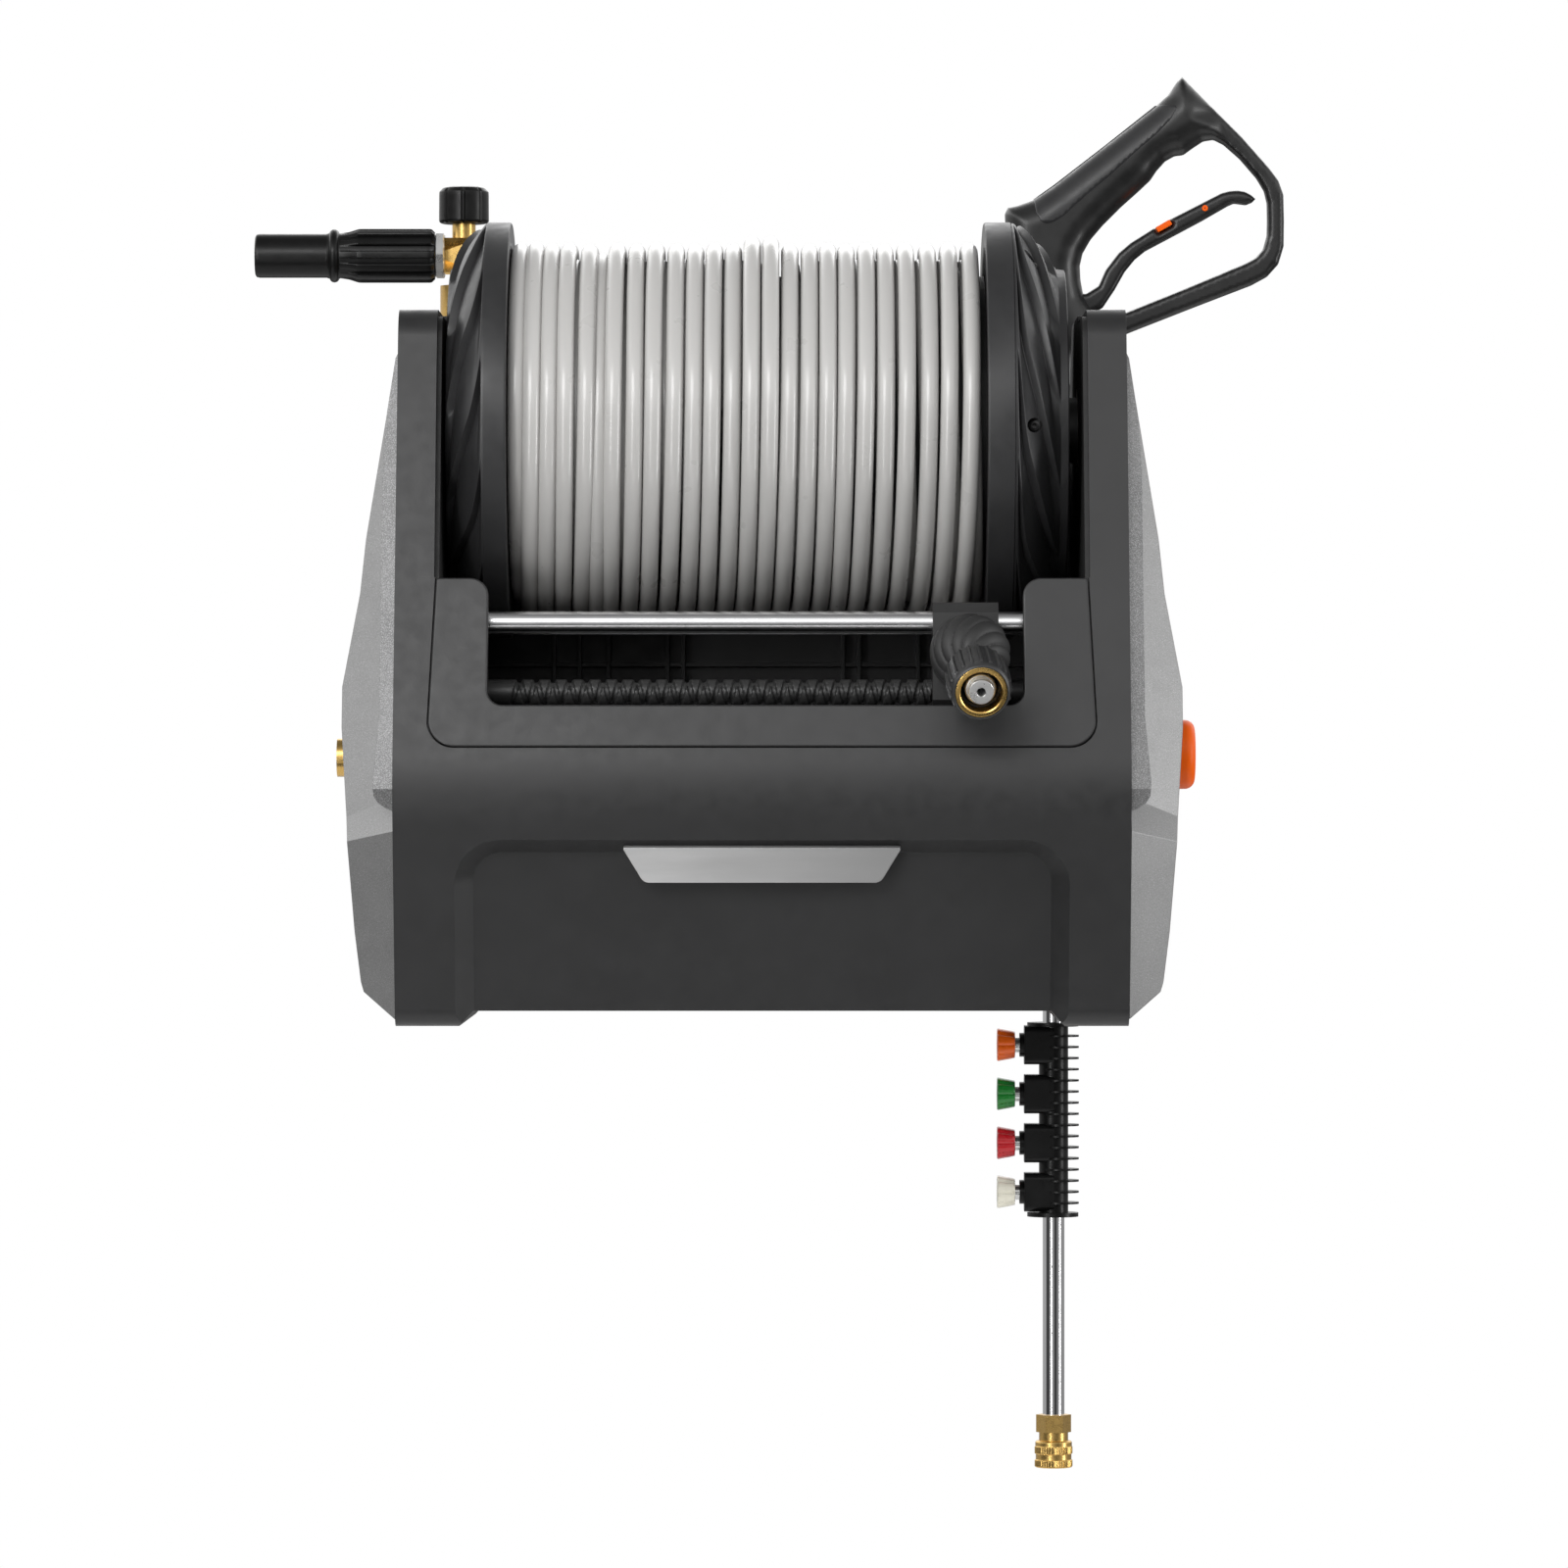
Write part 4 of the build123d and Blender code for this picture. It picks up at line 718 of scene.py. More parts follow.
def stop_shape(along, radius, angle):
    """Rounded bands that spiral round the ball."""
    lean = math.atan2(radius, along)
    wave = abs(math.sin(STOP_BANDS * (angle + 1.05 * lean) / 2))
    cut = STOP_GROOVE * (1 - wave**0.4) * math.sin(lean) ** 0.5
    scale = 1 - cut / STOP_R
    return along * scale, radius * scale


stop_profile = [
    (STOP_R * math.cos(math.radians(d)), STOP_R * math.sin(math.radians(d)))
    for d in np.linspace(16.5, 150, 60)
]
turned(
    "Hose_Stop",
    stop_profile,
    BALL,
    OUT_DIR,
    Z_AXIS,
    "rubber_black",
    "guide",
    ("hose_stop",),
    segments=216,
    shape=stop_shape,
    closed=False,
)

NUT_RIBS, NUT_RIB_HEIGHT, NUT_SLEEVE_R = 20, 1.4, 16.6
# the sleeve's waist: its first point's place, its rings, their spacing, its radius and its swell
WAIST_AT, WAIST_RINGS, WAIST_STEP, WAIST_R, WAIST_SWELL = 36.2, 36, 0.85, 17.2, 0.4


def nut_shape(along, radius, angle):
    """Raised ribs along the sleeve of the nut."""
    if radius < NUT_SLEEVE_R or not 36.0 < along < 69.0:
        return along, radius
    rise = smooth_step(0.45, 0.66, math.cos(NUT_RIBS * angle))
    fade = smooth_step(36.0, 38.5, along) * (1 - smooth_step(66.9, 67.3, along))
    return along, radius + NUT_RIB_HEIGHT * rise * fade


nut_line = [(34, 7.7), (34, 15.6), (WAIST_AT, WAIST_R)]
nut_line += [
    (WAIST_AT + WAIST_STEP * n, WAIST_R + WAIST_SWELL * math.sin(n / WAIST_RINGS * math.pi))
    for n in range(1, WAIST_RINGS + 1)
]
nut_line += [(67.25, 17.3), (67.35, 17.3), (70.4, 17.2), (71.4, 16.7), (72, 15.8), (72, 15.4)]
nut_line += [(41, 15.4), (41, 7.7)]
nut = turned(
    "Connector_Nut",
    nut_line,
    BALL,
    OUT_DIR,
    Z_AXIS,
    "nut_black",
    "nut",
    ("connector_nut",),
    segments=400,
    shape=nut_shape,
)
ring = [(63.0, 15.3), (71.2, 15.3), (71.7, 15.1), (72.0, 14.6), (72.0, 12.9), (71.5, 12.3)]
ring += [(70.4, 12.1), (63.0, 12.1)]
insert = turned("Nut_Ring", ring, BALL, OUT_DIR, Z_AXIS, "brass", "nut", segments=96)
# the thread inside the nut is brass, drawn in the nut's black: painted shade in the bore
THREAD_TURNS, THREAD_PITCH = 12, 1.5
thread = [(41.2, 15.3), (62.9, 15.3), (62.9, 12.1)]
for n in range(THREAD_TURNS):
    thread += [(62.0 - THREAD_PITCH * n, 11.9), (61.4 - THREAD_PITCH * n, 11.1)]
thread += [(42.0, 11.6), (41.2, 11.6)]
thread_in_painted_shade = turned("Nut_Thread_Painted_Shade", thread, BALL, OUT_DIR, Z_AXIS, "nut_black", "nut", segments=72)
connector_line = [(20, 2.6), (20, 7.45), (43.8, 7.45), (44, 9.3), (65.4, 9.3), (66.4, 8.6)]
connector_line += [(66.4, 7.4), (71.6, 7.4), (71.6, 2.6)]
connector = turned(
    "Hose_Connector",
    rounded(connector_line, 0.5),
    BALL,
    OUT_DIR,
    Z_AXIS,
    "plated_steel",
    "guide",
    ("hose_connector",),
    slot="steel",
    segments=64,
)

# ---------------------------------------------------------------- the lead screw

LEAD_SCREW = Vector((0, -322.912, -17.6))
LEAD_PITCH, LEAD_R, GROOVE_DEPTH = 10.0, 8.0, 1.9
# where the grooves begin and end, and how long they take to reach their depth
GROOVES_LEFT, GROOVES_RIGHT, RUN_OUT = -151.0, 141.0, 2


def lead_shape(along, radius, angle):
    """Two grooves of opposite hand that cross."""
    if radius < 7.0 or not GROOVES_LEFT < along < GROOVES_RIGHT:
        return along, radius
    cut = 0.0
    for hand in (-1, 1):
        phase = (along / LEAD_PITCH + hand * angle / (2 * math.pi)) % 1.0
        cut = max(cut, 1 - smooth_step(0.10, 0.17, abs(phase - 0.5)))
    ends = smooth_step(GROOVES_LEFT, GROOVES_LEFT + RUN_OUT, along)
    ends *= 1 - smooth_step(GROOVES_RIGHT - RUN_OUT, GROOVES_RIGHT, along)
    return along, radius - GROOVE_DEPTH * cut * ends


lead_left, lead_right = (corner.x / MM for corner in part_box("lead_screw"))
lead_line = [(lead_left, 5.4), (lead_left + 0.6, 6.0), (-192.2, 6.0), (-192.0, 7.6)]
lead_line += [(-191.6, LEAD_R)]
lead_line += [(x, LEAD_R) for x in np.arange(-152, 142.4, 0.7)]
lead_line += [(191.6, LEAD_R), (192.0, 7.6), (192.2, 6.0)]
lead_line += [(lead_right - 0.6, 6.0), (lead_right, 5.4)]
turned(
    "Lead_Screw",
    lead_line,
    LEAD_SCREW,
    X_AXIS,
    Z_AXIS,
    "screw_black",
    "screw",
    ("lead_screw",),
    segments=56,
    shape=lead_shape,
    closed=False,
)

# ---------------------------------------------------------------- gun

TOOL_Y = -45.0
# rings of points beside an outline, and how far from it the inner points begin
RING_GAPS, INNER_GAP = (0.12, 0.45, 1.0), 1.6
ON_EDGE = 1e-4


def loop_distance(points, loops):
    """Each point's distance to the nearest edge of some closed loops."""
    best = np.full(len(points), 1e9)
    for loop in loops:
        a = np.array(loop)
        b = np.roll(a, -1, axis=0)
        d = b - a
        for (ax, az), (dx, dz) in zip(a, d):
            along = (points[:, 0] - ax) * dx + (points[:, 1] - az) * dz
            along = np.clip(along / max(dx * dx + dz * dz, 1e-12), 0, 1)
            gap = np.hypot(points[:, 0] - ax - along * dx, points[:, 1] - az - along * dz)
            best = np.minimum(best, gap)
    return best


def inside_loop(points, loop):
    """Which points lie inside a closed loop."""
    result = np.zeros(len(points), bool)
    a = np.array(loop)
    b = np.roll(a, -1, axis=0)
    for (ax, az), (bx, bz) in zip(a, b):
        crosses = (az > points[:, 1]) != (bz > points[:, 1])
        with np.errstate(divide="ignore", invalid="ignore"):
            where = (bx - ax) * (points[:, 1] - az) / (bz - az) + ax
        result ^= crosses & (points[:, 0] < where)
    return result


def inside_all(points, loops):
    """Which points lie inside the first loop and outside the others, which are its holes."""
    result = inside_loop(points, loops[0])
    for hole in loops[1:]:
        result &= ~inside_loop(points, hole)
    return result


def even_loop(points, step):
    """A closed loop resampled at an even step."""
    loop = np.array(points + [points[0]])
    lengths = np.concatenate([[0], np.cumsum(np.hypot(*np.diff(loop, axis=0).T))])
    count = max(8, int(lengths[-1] / step))
    at = np.linspace(0, lengths[-1], count, endpoint=False)
    return list(zip(np.interp(at, lengths, loop[:, 0]), np.interp(at, lengths, loop[:, 1])))


def pillow(name, outer, holes, half, round_over, material, body, replaces, step):
    """A plate whose edges are rounded over: half and round_over are functions of a point."""
    loops = [even_loop(loop, step * 0.8) for loop in [outer] + holes]
    low, high = np.min(loops[0], axis=0), np.max(loops[0], axis=0)
    seeds = []
    for n, z in enumerate(np.arange(low[1], high[1], step * 0.87)):
        seeds += [(x + (n % 2) * step / 2, z) for x in np.arange(low[0], high[0], step)]
    rings = []
    for loop in loops:
        a = np.array(loop)
        ahead = np.roll(a, -1, axis=0) - np.roll(a, 1, axis=0)
        side = np.stack([ahead[:, 1], -ahead[:, 0]], 1) / np.hypot(*ahead.T)[:, None]
        for gap in RING_GAPS:
            for sign in (-1, 1):
                rings.append((a + side * gap * sign, gap))
    kept = []
    for ring, gap in rings:
        kept.append(ring[inside_all(ring, loops) & (loop_distance(ring, loops) > gap * 0.8)])
    grid = np.array(seeds)
    kept.append(grid[inside_all(grid, loops) & (loop_distance(grid, loops) > INNER_GAP)])
    points = [Vector(p) for loop in loops for p in loop]
    edges, base = [], 0
    for loop in loops:
        edges += [(base + n, base + (n + 1) % len(loop)) for n in range(len(loop))]
        base += len(loop)
    points += [Vector(p) for p in np.concatenate(kept)]
    flat, _, faces, _, _, _ = delaunay_2d_cdt(points, edges, [], 0, 1e-5)
    flat = np.array([tuple(p) for p in flat])
    middles = np.array([flat[list(face)].mean(axis=0) for face in faces])
    good = inside_all(middles, loops)
    gaps = loop_distance(flat, loops)
    bm = bmesh.new()
    front, back = [], []
    for (x, z), gap in zip(flat, gaps):
        reach = round_over(x, z)
        share = min(1.0, gap / reach)
        rise = half(x, z) * math.sqrt(max(0.0, 1 - (1 - share) ** 2))
        on_edge = gap < ON_EDGE
        near = bm.verts.new((x, TOOL_Y - (0 if on_edge else rise), z))
        far = near if on_edge else bm.verts.new((x, TOOL_Y + rise, z))
        front.append(near)
        back.append(far)
    for face, ok in zip(faces, good):
        # a triangle with all its corners on the outline has no thickness
        if ok and any(front[n] is not back[n] for n in face):
            bm.faces.new([front[n] for n in face])
            bm.faces.new([back[n] for n in reversed(face)])
    bmesh.ops.delete(bm, geom=[v for v in bm.verts if not v.link_faces], context="VERTS")
    return add_piece(bm, name, material, body, replaces, math.radians(60), False)


# the outlines hold (x, z) points
GUN_OUTER = (
    [(264.8, 375.0), (283.2, 356.3), (302.3, 337.2), (319.6, 317.6), (325.6, 309.6)]
    + [(328.8, 300.6), (329.2, 284.0), (329.0, 268.0), (325.6, 256.6), (318.4, 248.6)]
    + [(308.5, 243.2), (270, 228.4), (232.3, 213.6), (208, 203.5), (201.5, 196), (199.5, 172)]
    + [(167.5, 172), (165.5, 190), (157.5, 232), (153.4, 268), (152.6, 288.6), (154.6, 292.4)]
    + [(160.5, 293.6), (169.9, 296.9), (183.5, 306.2), (216, 331.4), (248.2, 356.6)]
    + [(256.4, 364.2), (261.2, 371.6)]
)
GUN_HOLE = (
    [(202.4, 236.6), (200.5, 246.7), (200.1, 255.7), (201.8, 263.3), (206.9, 272.2)]
    + [(214.5, 281.1), (226, 292.6), (237.4, 302.8), (244.6, 309.6), (248.6, 315.6)]
    + [(254, 321.6), (260.0, 325.0), (265.4, 325.6), (271.8, 330.2), (278.1, 334.3)]
    + [(284.5, 335.3), (290.9, 332.1), (301.1, 323.1), (311.6, 310.9), (316.4, 302.8)]
    + [(318.2, 295.2), (318.4, 284.5), (318.2, 274.8), (315.8, 265.9), (311, 260.6)]
    + [(304.9, 257.2), (268, 241.8), (229.8, 226.4), (219, 224), (208, 227)]
)
# the guard side of this line is slimmer than the grip
SLIM_LINE = (
    [(206, 170), (212, 214), (216, 232), (238, 246), (292, 300), (284, 344), (276, 352)]
    + [(300, 400), (400, 400), (400, 170)]
)
# half the thickness, and how far in the edge is rounded
GRIP_HALF, GUARD_HALF = 17.0, 8.0
GRIP_ROUND, GUARD_ROUND = 16.0, 2.4


def slimness(x, z):
    """0 on the grip and the valve body, 1 on the guard."""
    here = np.array([[x, z]])
    gap = loop_distance(here, [SLIM_LINE])[0]
    signed = gap if inside_loop(here, SLIM_LINE)[0] else -gap
    return smooth_step(-9.0, 7.0, signed)


def gun_half(x, z):
    """Half the gun's thickness."""
    slim = slimness(x, z)
    return GRIP_HALF * (1 - slim) + GUARD_HALF * slim


def gun_round(x, z):
    """How far in from the outline the gun's edge is rounded."""
    slim = slimness(x, z)
    return GRIP_ROUND * (1 - slim) + GUARD_ROUND * slim


pillow(
    "Gun_Body",
    GUN_OUTER,
    [GUN_HOLE],
    gun_half,
    gun_round,
    "gun_black",
    "gun",
    ("gun_body",),
    step=2.0,
)

GRIP_PANEL = (
    [(170.6, 295.2), (171.5, 288.1), (174.4, 282.4), (178.2, 280.4), (183.9, 281.8)]
    + [(189.7, 285.6), (204.3, 298.9), (219.6, 311.7), (234.8, 325.7), (248.9, 337.8)]
    + [(257.8, 347.3), (261.6, 354.4), (260.3, 356.5), (255.2, 357.1), (247.9, 357.1)]
    + [(216, 331.9), (183.4, 306.7), (170.4, 297.6)]
)
PANEL_PROUD, PANEL_ROUND = 0.35, 0.6


def panel_half(x, z):
    """The panel follows the grip's own surface, a little proud of it."""
    gap = loop_distance(np.array([[x, z]]), [GUN_OUTER])[0]
    share = min(1.0, gap / gun_round(x, z))
    return gun_half(x, z) * math.sqrt(max(0.0, 1 - (1 - share) ** 2)) + PANEL_PROUD


pillow(
    "Grip_Panel",
    GRIP_PANEL,
    [],
    panel_half,
    lambda x, z: PANEL_ROUND,
    "grip_rubber",
    "gun",
    ("grip_insert",),
    step=1.8,
)

TRIGGER_OUTER = (
    [(191.6, 228.0), (193.0, 236.0), (198.0, 238.6), (204.0, 238.0), (211.9, 243.0)]
    + [(216.4, 253.1), (224.7, 263.9), (232.3, 270.3), (246.2, 279.0), (247.3, 279.6)]
    + [(249.4, 276.4), (258.5, 281.6), (256.8, 284.9), (259.7, 286.4), (278.1, 295.8)]
    + [(289.6, 301.7), (294.8, 303.0), (300.0, 303.4), (304.6, 302.6), (308.4, 300.6)]
    + [(311.2, 298.0), (309.0, 295.6), (304.9, 293.9), (297.3, 294.9), (293.4, 293.2)]
    + [(276.9, 283.7), (257.8, 273.5), (241.2, 264.7), (234.8, 259.5), (228.5, 251.8)]
    + [(222.1, 240.4), (214.5, 229.0), (204.0, 223.4), (197.0, 223.4)]
)
TRIGGER_HALF, TRIGGER_ROUND = 4.6, 3.0
LOCK_PLACE, LOCK_TILT = (253.0, 280.6), math.radians(30)
LOCK_LENGTH, LOCK_HEIGHT, LOCK_HALF = 10.2, 3.6, 6.2


def lock_corners(length, height):
    """A rectangle along the trigger's slope, in the notch where the lock lies."""
    along = (math.cos(LOCK_TILT), math.sin(LOCK_TILT))
    corners = []
    for s, t in ((-1, -1), (1, -1), (1, 1), (-1, 1)):
        x = LOCK_PLACE[0] + s * length / 2 * along[0] - t * height / 2 * along[1]
        z = LOCK_PLACE[1] + s * length / 2 * along[1] + t * height / 2 * along[0]
        corners.append((x, z))
    return corners


pillow(
    "Trigger",
    TRIGGER_OUTER,
    [],
    lambda x, z: TRIGGER_HALF,
    lambda x, z: TRIGGER_ROUND,
    "gun_black",
    "trigger",
    ("trigger",),
    step=1.5,
)

lock = bmesh.new()
for y in (TOOL_Y - LOCK_HALF, TOOL_Y + LOCK_HALF):
    for x, z in lock_corners(LOCK_LENGTH, LOCK_HEIGHT):
        lock.verts.new((x, y, z))
lock.verts.ensure_lookup_table()
lock.faces.new(lock.verts[:4])
lock.faces.new(lock.verts[4:])
for n in range(4):
    lock.faces.new([lock.verts[k] for k in (n, (n + 1) % 4, (n + 1) % 4 + 4, n + 4)])
bmesh.ops.recalc_face_normals(lock, faces=lock.faces)
bmesh.ops.bevel(
    lock,
    geom=lock.edges[:],
    offset=0.5,
    offset_type="OFFSET",
    segments=2,
    profile=0.5,
    affect="EDGES",
)
add_piece(lock, "Trigger_Lock", "orange", "lock", ("trigger_lock",))
turned(
    "Trigger_Pin",
    rounded([(-5.0, 0.4), (-5.0, 1.9), (5.0, 1.9), (5.0, 0.4)], 0.3),
    (279.0, TOOL_Y, 291.9),
    Y_AXIS,
    X_AXIS,
    "orange",
    "trigger",
    segments=32,
)

# ---------------------------------------------------------------- lance collar and nozzles

LANCE = Vector((183.5, TOOL_Y, 0))
NOZZLE_Z = {"orange": -236.9, "green": -267.9, "red": -298.9, "white": -329.9}
CAP_RIBS, CAP_GROOVE = 8, 0.9
CAP_LINE = (
    [(6.0, 3.6), (6.0, 8.3), (7.2, 8.7), (10, 9.3), (13, 9.8), (16.6, 10.5), (17.2, 10.2)]
    + [(17.4, 3.6)]
)
CAP_CORE = [(15.2, 3.58), (15.2, 0.9), (6.3, 0.9), (6.3, 3.58)]
STEM_LINE = [(-10.4, 1.2), (-10.4, 5.75), (1.2, 5.75), (1.4, 5.0), (6.4, 5.0), (6.4, 1.2)]
KNURLS, KNURL_DEPTH = 40, 0.45
COLLAR_LINE = (
    [(-504.1, 9.3), (-504.1, 11.2), (-503.3, 12.0), (-499.4, 12.0), (-499.0, 11.3)]
    + [(-495.6, 11.3), (-495.2, 12.0), (-491.0, 12.0), (-490.6, 11.6), (-488.0, 11.6)]
    + [(-487.2, 10.8), (-486.9, 9.3)]
)


def cap_shape(along, radius, angle):
    """Narrow grooves along a nozzle's cap."""
    if radius < 6.5 or along < 6.4:
        return along, radius
    wave = 0.5 + 0.5 * math.cos(CAP_RIBS * angle)
    return along, radius - CAP_GROOVE * wave**5


def collar_shape(along, radius, angle):
    """Knurls round the collar's two raised bands."""
    if radius < 11.7 or not -503.4 < along < -490.9:
        return along, radius
    wave = 0.5 + 0.5 * math.cos(KNURLS * angle)
    return along, radius - KNURL_DEPTH * (1 - wave**0.6)


for colour, z in NOZZLE_Z.items():
    seat = Vector((165.0, TOOL_Y, z))
    cap = bmesh.new()
    lathe(cap, rounded(CAP_LINE, 0.35), seat, -X_AXIS, Z_AXIS, segments=96, shape=cap_shape)
    lathe(cap, CAP_CORE, seat, -X_AXIS, Z_AXIS, segments=24)
    tip = add_piece(cap, f"Nozzle_Cap_{colour}", "tip_" + colour, colour + "_tip")
    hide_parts("nozzle_" + colour)
    turned(
        f"Nozzle_Stem_{colour}",
        rounded(STEM_LINE, 0.4),
        seat,
        -X_AXIS,
        Z_AXIS,
        "steel",
        colour + "_tip",
        segments=40,
    )

turned(
    "Coupler_Collar",
    rounded(COLLAR_LINE, 0.25, 2),
    LANCE,
    Z_AXIS,
    X_AXIS,
    "brass",
    "collar",
    ("coupler_collar",),
    segments=192,
    shape=collar_shape,
)

# ---------------------------------------------------------------- foam cannon

FOAM = Vector((0, TOOL_Y, 262))
GRIP_GROOVES, GRIP_GROOVE_DEPTH = 12, 2.6
DIAL_FLUTES, DIAL_FLUTE_DEPTH = 8, 1.3
# the nut's ends, and half its width across its flats and its corners
HEX_LEFT, HEX_RIGHT, HEX_FLAT, HEX_CORNER = -207.2, -201.4, 13.7, 15.8
# in metres: the spigot inside the nut, and the least and most radius of the body's hexagon
SPIGOT_R, HEX_LEAST, HEX_MOST = 0.0062, 0.007, 0.0159


def grip_shape(along, radius, angle):
    """Deep grooves along the grip that fade into its shoulder."""
    if radius < 13.9 or not -267 < along < -206:
        return along, radius
    wave = 0.5 + 0.5 * math.cos(GRIP_GROOVES * angle)
    groove = 1 - smooth_step(0.30, 0.58, wave)
    fade = smooth_step(-266.5, -254, along) * (1 - smooth_step(-209.5, -207.6, along))
    return along, radius - GRIP_GROOVE_DEPTH * groove * fade


def hex_shape(along, radius, angle):
    """Six flats round the nut."""
    sixth = math.pi / 3
    from_flat = (angle + sixth / 2) % sixth - sixth / 2
    return along, min(radius, HEX_FLAT / math.cos(from_flat))


def without_hex(bm):
    """Draws the body's hexagon in to its spigot, because the nut there is a separate piece."""
    for vert in bm.verts:
        across = Vector((0, vert.co.y, vert.co.z)) - FOAM * MM
        on_hexagon = HEX_LEAST < across.length < HEX_MOST
        if HEX_LEFT * MM < vert.co.x < HEX_RIGHT * MM and on_hexagon:
            spigot = across.normalized() * SPIGOT_R
            vert.co.y, vert.co.z = FOAM.y * MM + spigot.y, FOAM.z * MM + spigot.z


softened("foam_body", 0.5, "brass", "foam_cannon", change=without_hex)
hex_line = [(HEX_LEFT, 6.3), (HEX_LEFT, 13.2), (HEX_LEFT + 0.7, HEX_CORNER)]
hex_line += [(HEX_RIGHT - 0.7, HEX_CORNER), (HEX_RIGHT, 13.2), (HEX_RIGHT, 6.3)]
turned(
    "Foam_Nut",
    hex_line,
    FOAM,
    X_AXIS,
    Z_AXIS,
    "plated_steel",
    "foam_cannon",
    slot="steel",
    segments=72,
    shape=hex_shape,
)

grip_line = [(-321.2, 11.5), (-321.2, 12.2), (-320.4, 13.4), (-318.6, 13.85), (-276.2, 13.85)]
grip_line += [(-275.2, 14.2)]
# the bead between the nozzle and its grip
grip_line += [
    (-271.3 - 3.0 * math.cos(math.radians(d)), 14.1 + 2.7 * math.sin(math.radians(d)))
    for d in range(10, 180, 20)
]
grip_line += [(-267.6, 14.2), (-266.6, 14.3), (-262, 15.0), (-257, 16.6), (-255.5, 16.95)]
grip_line += [(x, 17.0) for x in np.arange(-253, -210.9, 1.4)]
grip_line += [(-209.6, 16.7), (-207.7, 14.8), (-207.6, 13.4), (-207.6, 6.3), (-261, 6.3)]
grip_line += [(-261, 11.5)]
turned(
    "Foam_Nozzle",
    grip_line,
    FOAM,
    X_AXIS,
    Z_AXIS,
    "black_painted_shade",
    "foam_fan",
    ("foam_nozzle",),
    slot="gun_black",
    segments=192,
    shape=grip_shape,
)


def dial_shape(along, radius, angle):
    """Narrow flutes round the dial."""
    if radius < 14.0:
        return along, radius
    wave = 0.5 + 0.5 * math.cos(DIAL_FLUTES * angle)
    return along, radius - DIAL_FLUTE_DEPTH * smooth_step(0.90, 0.97, wave)


dial_line = [(282.3, 4.2), (282.3, 13.6), (283.0, 15.2), (284.0, 15.8), (300, 15.7)]
dial_line += [(302.4, 15.6), (304.8, 13.2), (305.6, 9), (305.6, 0.4), (302.4, 0.4), (302.4, 4.2)]
turned(
    "Foam_Dial",
    rounded(dial_line, 0.5),
    (-189.4, TOOL_Y, 0),
    Z_AXIS,
    (0, -1, 0),
    "black_painted_shade",
    "foam_dial",
    ("foam_knob",),
    slot="gun_black",
    segments=192,
    shape=dial_shape,
)

# ---------------------------------------------------------------- floor, light and camera

FLOOR_SIZE, FLOOR_PLACE = 2.4, (0, 0.3, -0.95)
bpy.ops.mesh.primitive_plane_add(size=FLOOR_SIZE, location=FLOOR_PLACE)
floor = bpy.context.object
floor.name = "Floor"
paper = make_material(
    "Floor_Paper", (0.86, 0.86, 0.86), 0.8, mottle=0.01, grain=0.02, grain_scale=60
)
floor.data.materials.append(paper)


def area_light(name, place, target, size, power):
    """A white rectangle of light that faces its target."""
    data = bpy.data.lights.new(name, "AREA")
    data.shape = "RECTANGLE"
    data.size, data.size_y = size
    data.energy = power
    light = bpy.data.objects.new(name, data)
    light.location = place
    aim = Vector(target) - Vector(place)
    light.rotation_euler = aim.to_track_quat("-Z", "Y").to_euler()
    bpy.context.scene.collection.objects.link(light)


area_light("Key", (-1.0, -2.6, 1.3), (0, -0.2, 0.05), (1.6, 0.7), 20)
area_light("Low", (0.0, -2.6, -1.30), (0, -0.2, 0.0), (2.2, 0.26), 2.6)
area_light("Left", (-1.05, -2.5, 0.0), (0.1, -0.2, 0.0), (0.16, 1.8), 14)
area_light("Right", (2.5, -0.9, 0.0), (0.1, -0.2, 0.0), (0.40, 1.8), 20)
area_light("Back", (0.3, 1.8, 1.2), (0, -0.1, 0.0), (1.6, 1.0), 5)

# how bright the room is from floor to ceiling, and from left to right in front of the object
ROOM_HEIGHT = [(0.0, 0.02), (0.12, 0.06), (0.26, 0.06), (0.38, 0.10), (0.50, 0.26), (0.60, 0.70)]
ROOM_HEIGHT += [(0.68, 0.95), (0.76, 0.8), (0.84, 0.4), (0.92, 0.2), (1.0, 0.1)]
ROOM_WIDTH = [(0.0, 0.40), (0.02, 0.08), (0.10, 0.08), (0.19, 0.95), (0.34, 1.0), (0.42, 0.80)]
ROOM_WIDTH += [(0.52, 0.75), (0.56, 0.15), (0.72, 0.15), (0.80, 0.6), (0.90, 1.0), (1.0, 1.0)]
# above this height the room is as bright all round
ROOM_ABOVE = [(0.0, 0.0), (0.36, 0.0), (0.45, 0.0), (0.55, 0.0), (0.62, 1.0), (1.0, 1.0)]
ROOM_BEHIND, ROOM_TILT, ROOM_POWER = 0.85, 0.25, 1.75

world = bpy.data.worlds.new("Studio")
bpy.context.scene.world = world
world.use_nodes = True
tree = world.node_tree


def world_math(operation, *values):
    """The result of a maths node on sockets and numbers."""
    node = tree.nodes.new("ShaderNodeMath")
    node.operation = operation
    for socket, value in zip(node.inputs, values):
        if isinstance(value, bpy.types.NodeSocket):
            tree.links.new(value, socket)
        else:
            socket.default_value = value
    return node.outputs[0]


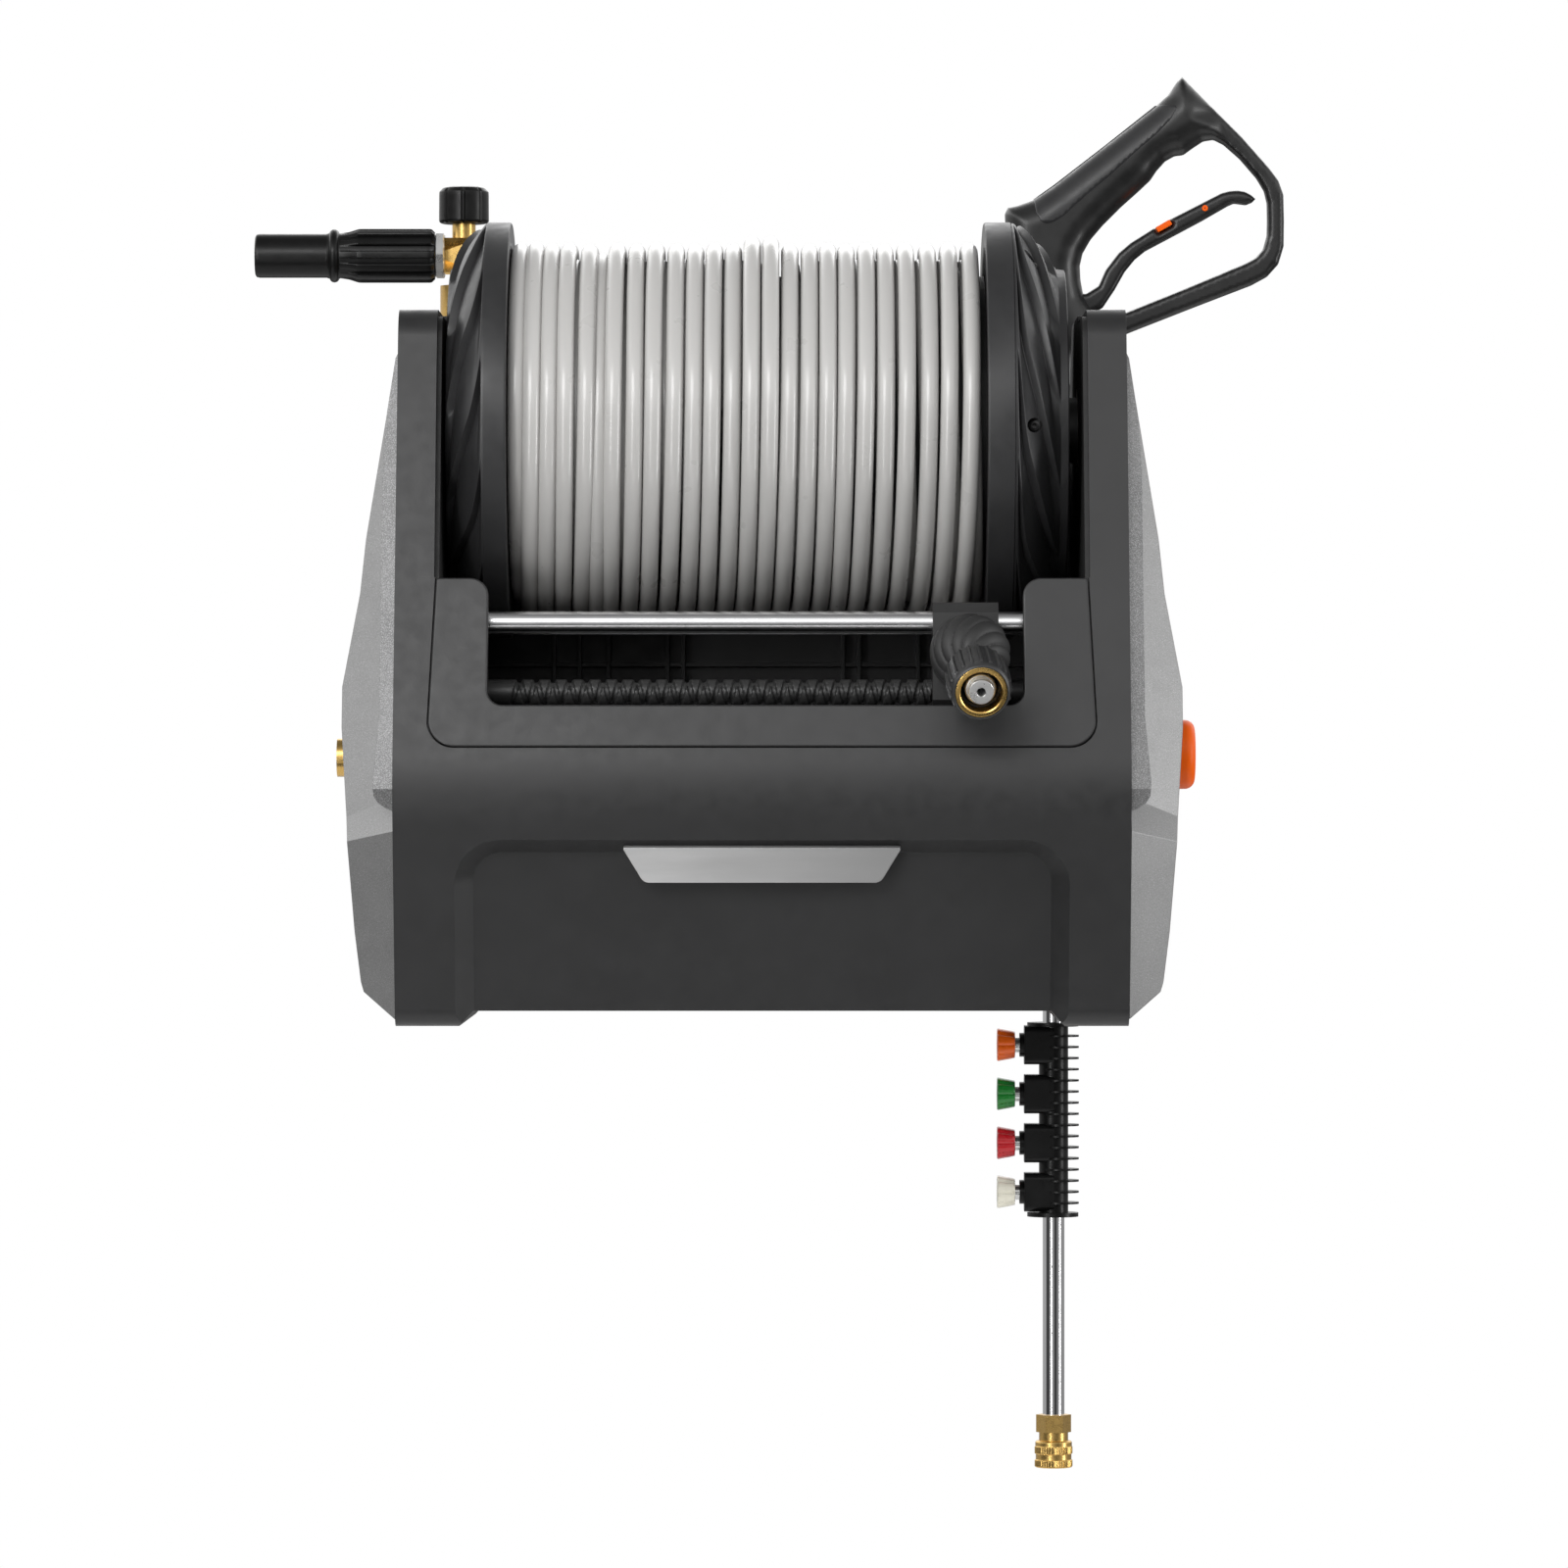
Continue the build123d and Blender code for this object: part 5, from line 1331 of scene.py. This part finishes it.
def world_ramp(value, stops):
    """Brightness read off a ramp by one component of the direction, from -1 to 1."""
    node = tree.nodes.new("ShaderNodeValToRGB")
    elements = node.color_ramp.elements
    for n, (place, grey) in enumerate(stops):
        # a new ramp already has two elements
        element = elements[n] if n < 2 else elements.new(place)
        element.position = place
        element.color = (grey, grey, grey, 1)
    tree.links.new(world_math("MULTIPLY_ADD", value, 0.5, 0.5), node.inputs[0])
    return node.outputs["Color"]


heading = tree.nodes.new("ShaderNodeSeparateXYZ")
tree.links.new(tree.nodes.new("ShaderNodeTexCoord").outputs["Generated"], heading.inputs[0])
height = world_ramp(heading.outputs["Z"], ROOM_HEIGHT)
width = world_ramp(heading.outputs["X"], ROOM_WIDTH)
behind = world_math("GREATER_THAN", heading.outputs["Y"], 0.0)
width = world_math("MAXIMUM", width, world_math("MULTIPLY", behind, ROOM_BEHIND))
width = world_math("MAXIMUM", width, world_ramp(heading.outputs["Z"], ROOM_ABOVE))
tilt = world_math("SUBTRACT", 1.0, world_math("MULTIPLY", heading.outputs["X"], ROOM_TILT))
glow = world_math("MULTIPLY", height, width)
strength = world_math("MULTIPLY", glow, world_math("MULTIPLY", tilt, ROOM_POWER))

# the camera sees a white backdrop, and the object is lit by the room
seen = tree.nodes.new("ShaderNodeBackground")
seen.inputs["Color"].default_value = (1, 1, 1, 1)
seen.inputs["Strength"].default_value = 1.0
felt = tree.nodes["Background"]
felt.inputs["Color"].default_value = (1, 1, 1, 1)
tree.links.new(strength, felt.inputs["Strength"])
paths = tree.nodes.new("ShaderNodeLightPath")
choice = tree.nodes.new("ShaderNodeMixShader")
tree.links.new(paths.outputs["Is Camera Ray"], choice.inputs[0])
tree.links.new(felt.outputs[0], choice.inputs[1])
tree.links.new(seen.outputs[0], choice.inputs[2])
tree.links.new(choice.outputs[0], tree.nodes["World Output"].inputs["Surface"])
bpy.context.scene.view_settings.view_transform = "Standard"

lens = bpy.data.cameras.new("Camera")
lens.sensor_width, lens.lens = 36, 181.5
camera = bpy.data.objects.new("Camera", lens)
camera.location = (0.013, -5.045, -0.072)
camera.rotation_euler = (math.radians(90), 0, 0)
bpy.context.scene.collection.objects.link(camera)
bpy.context.scene.camera = camera
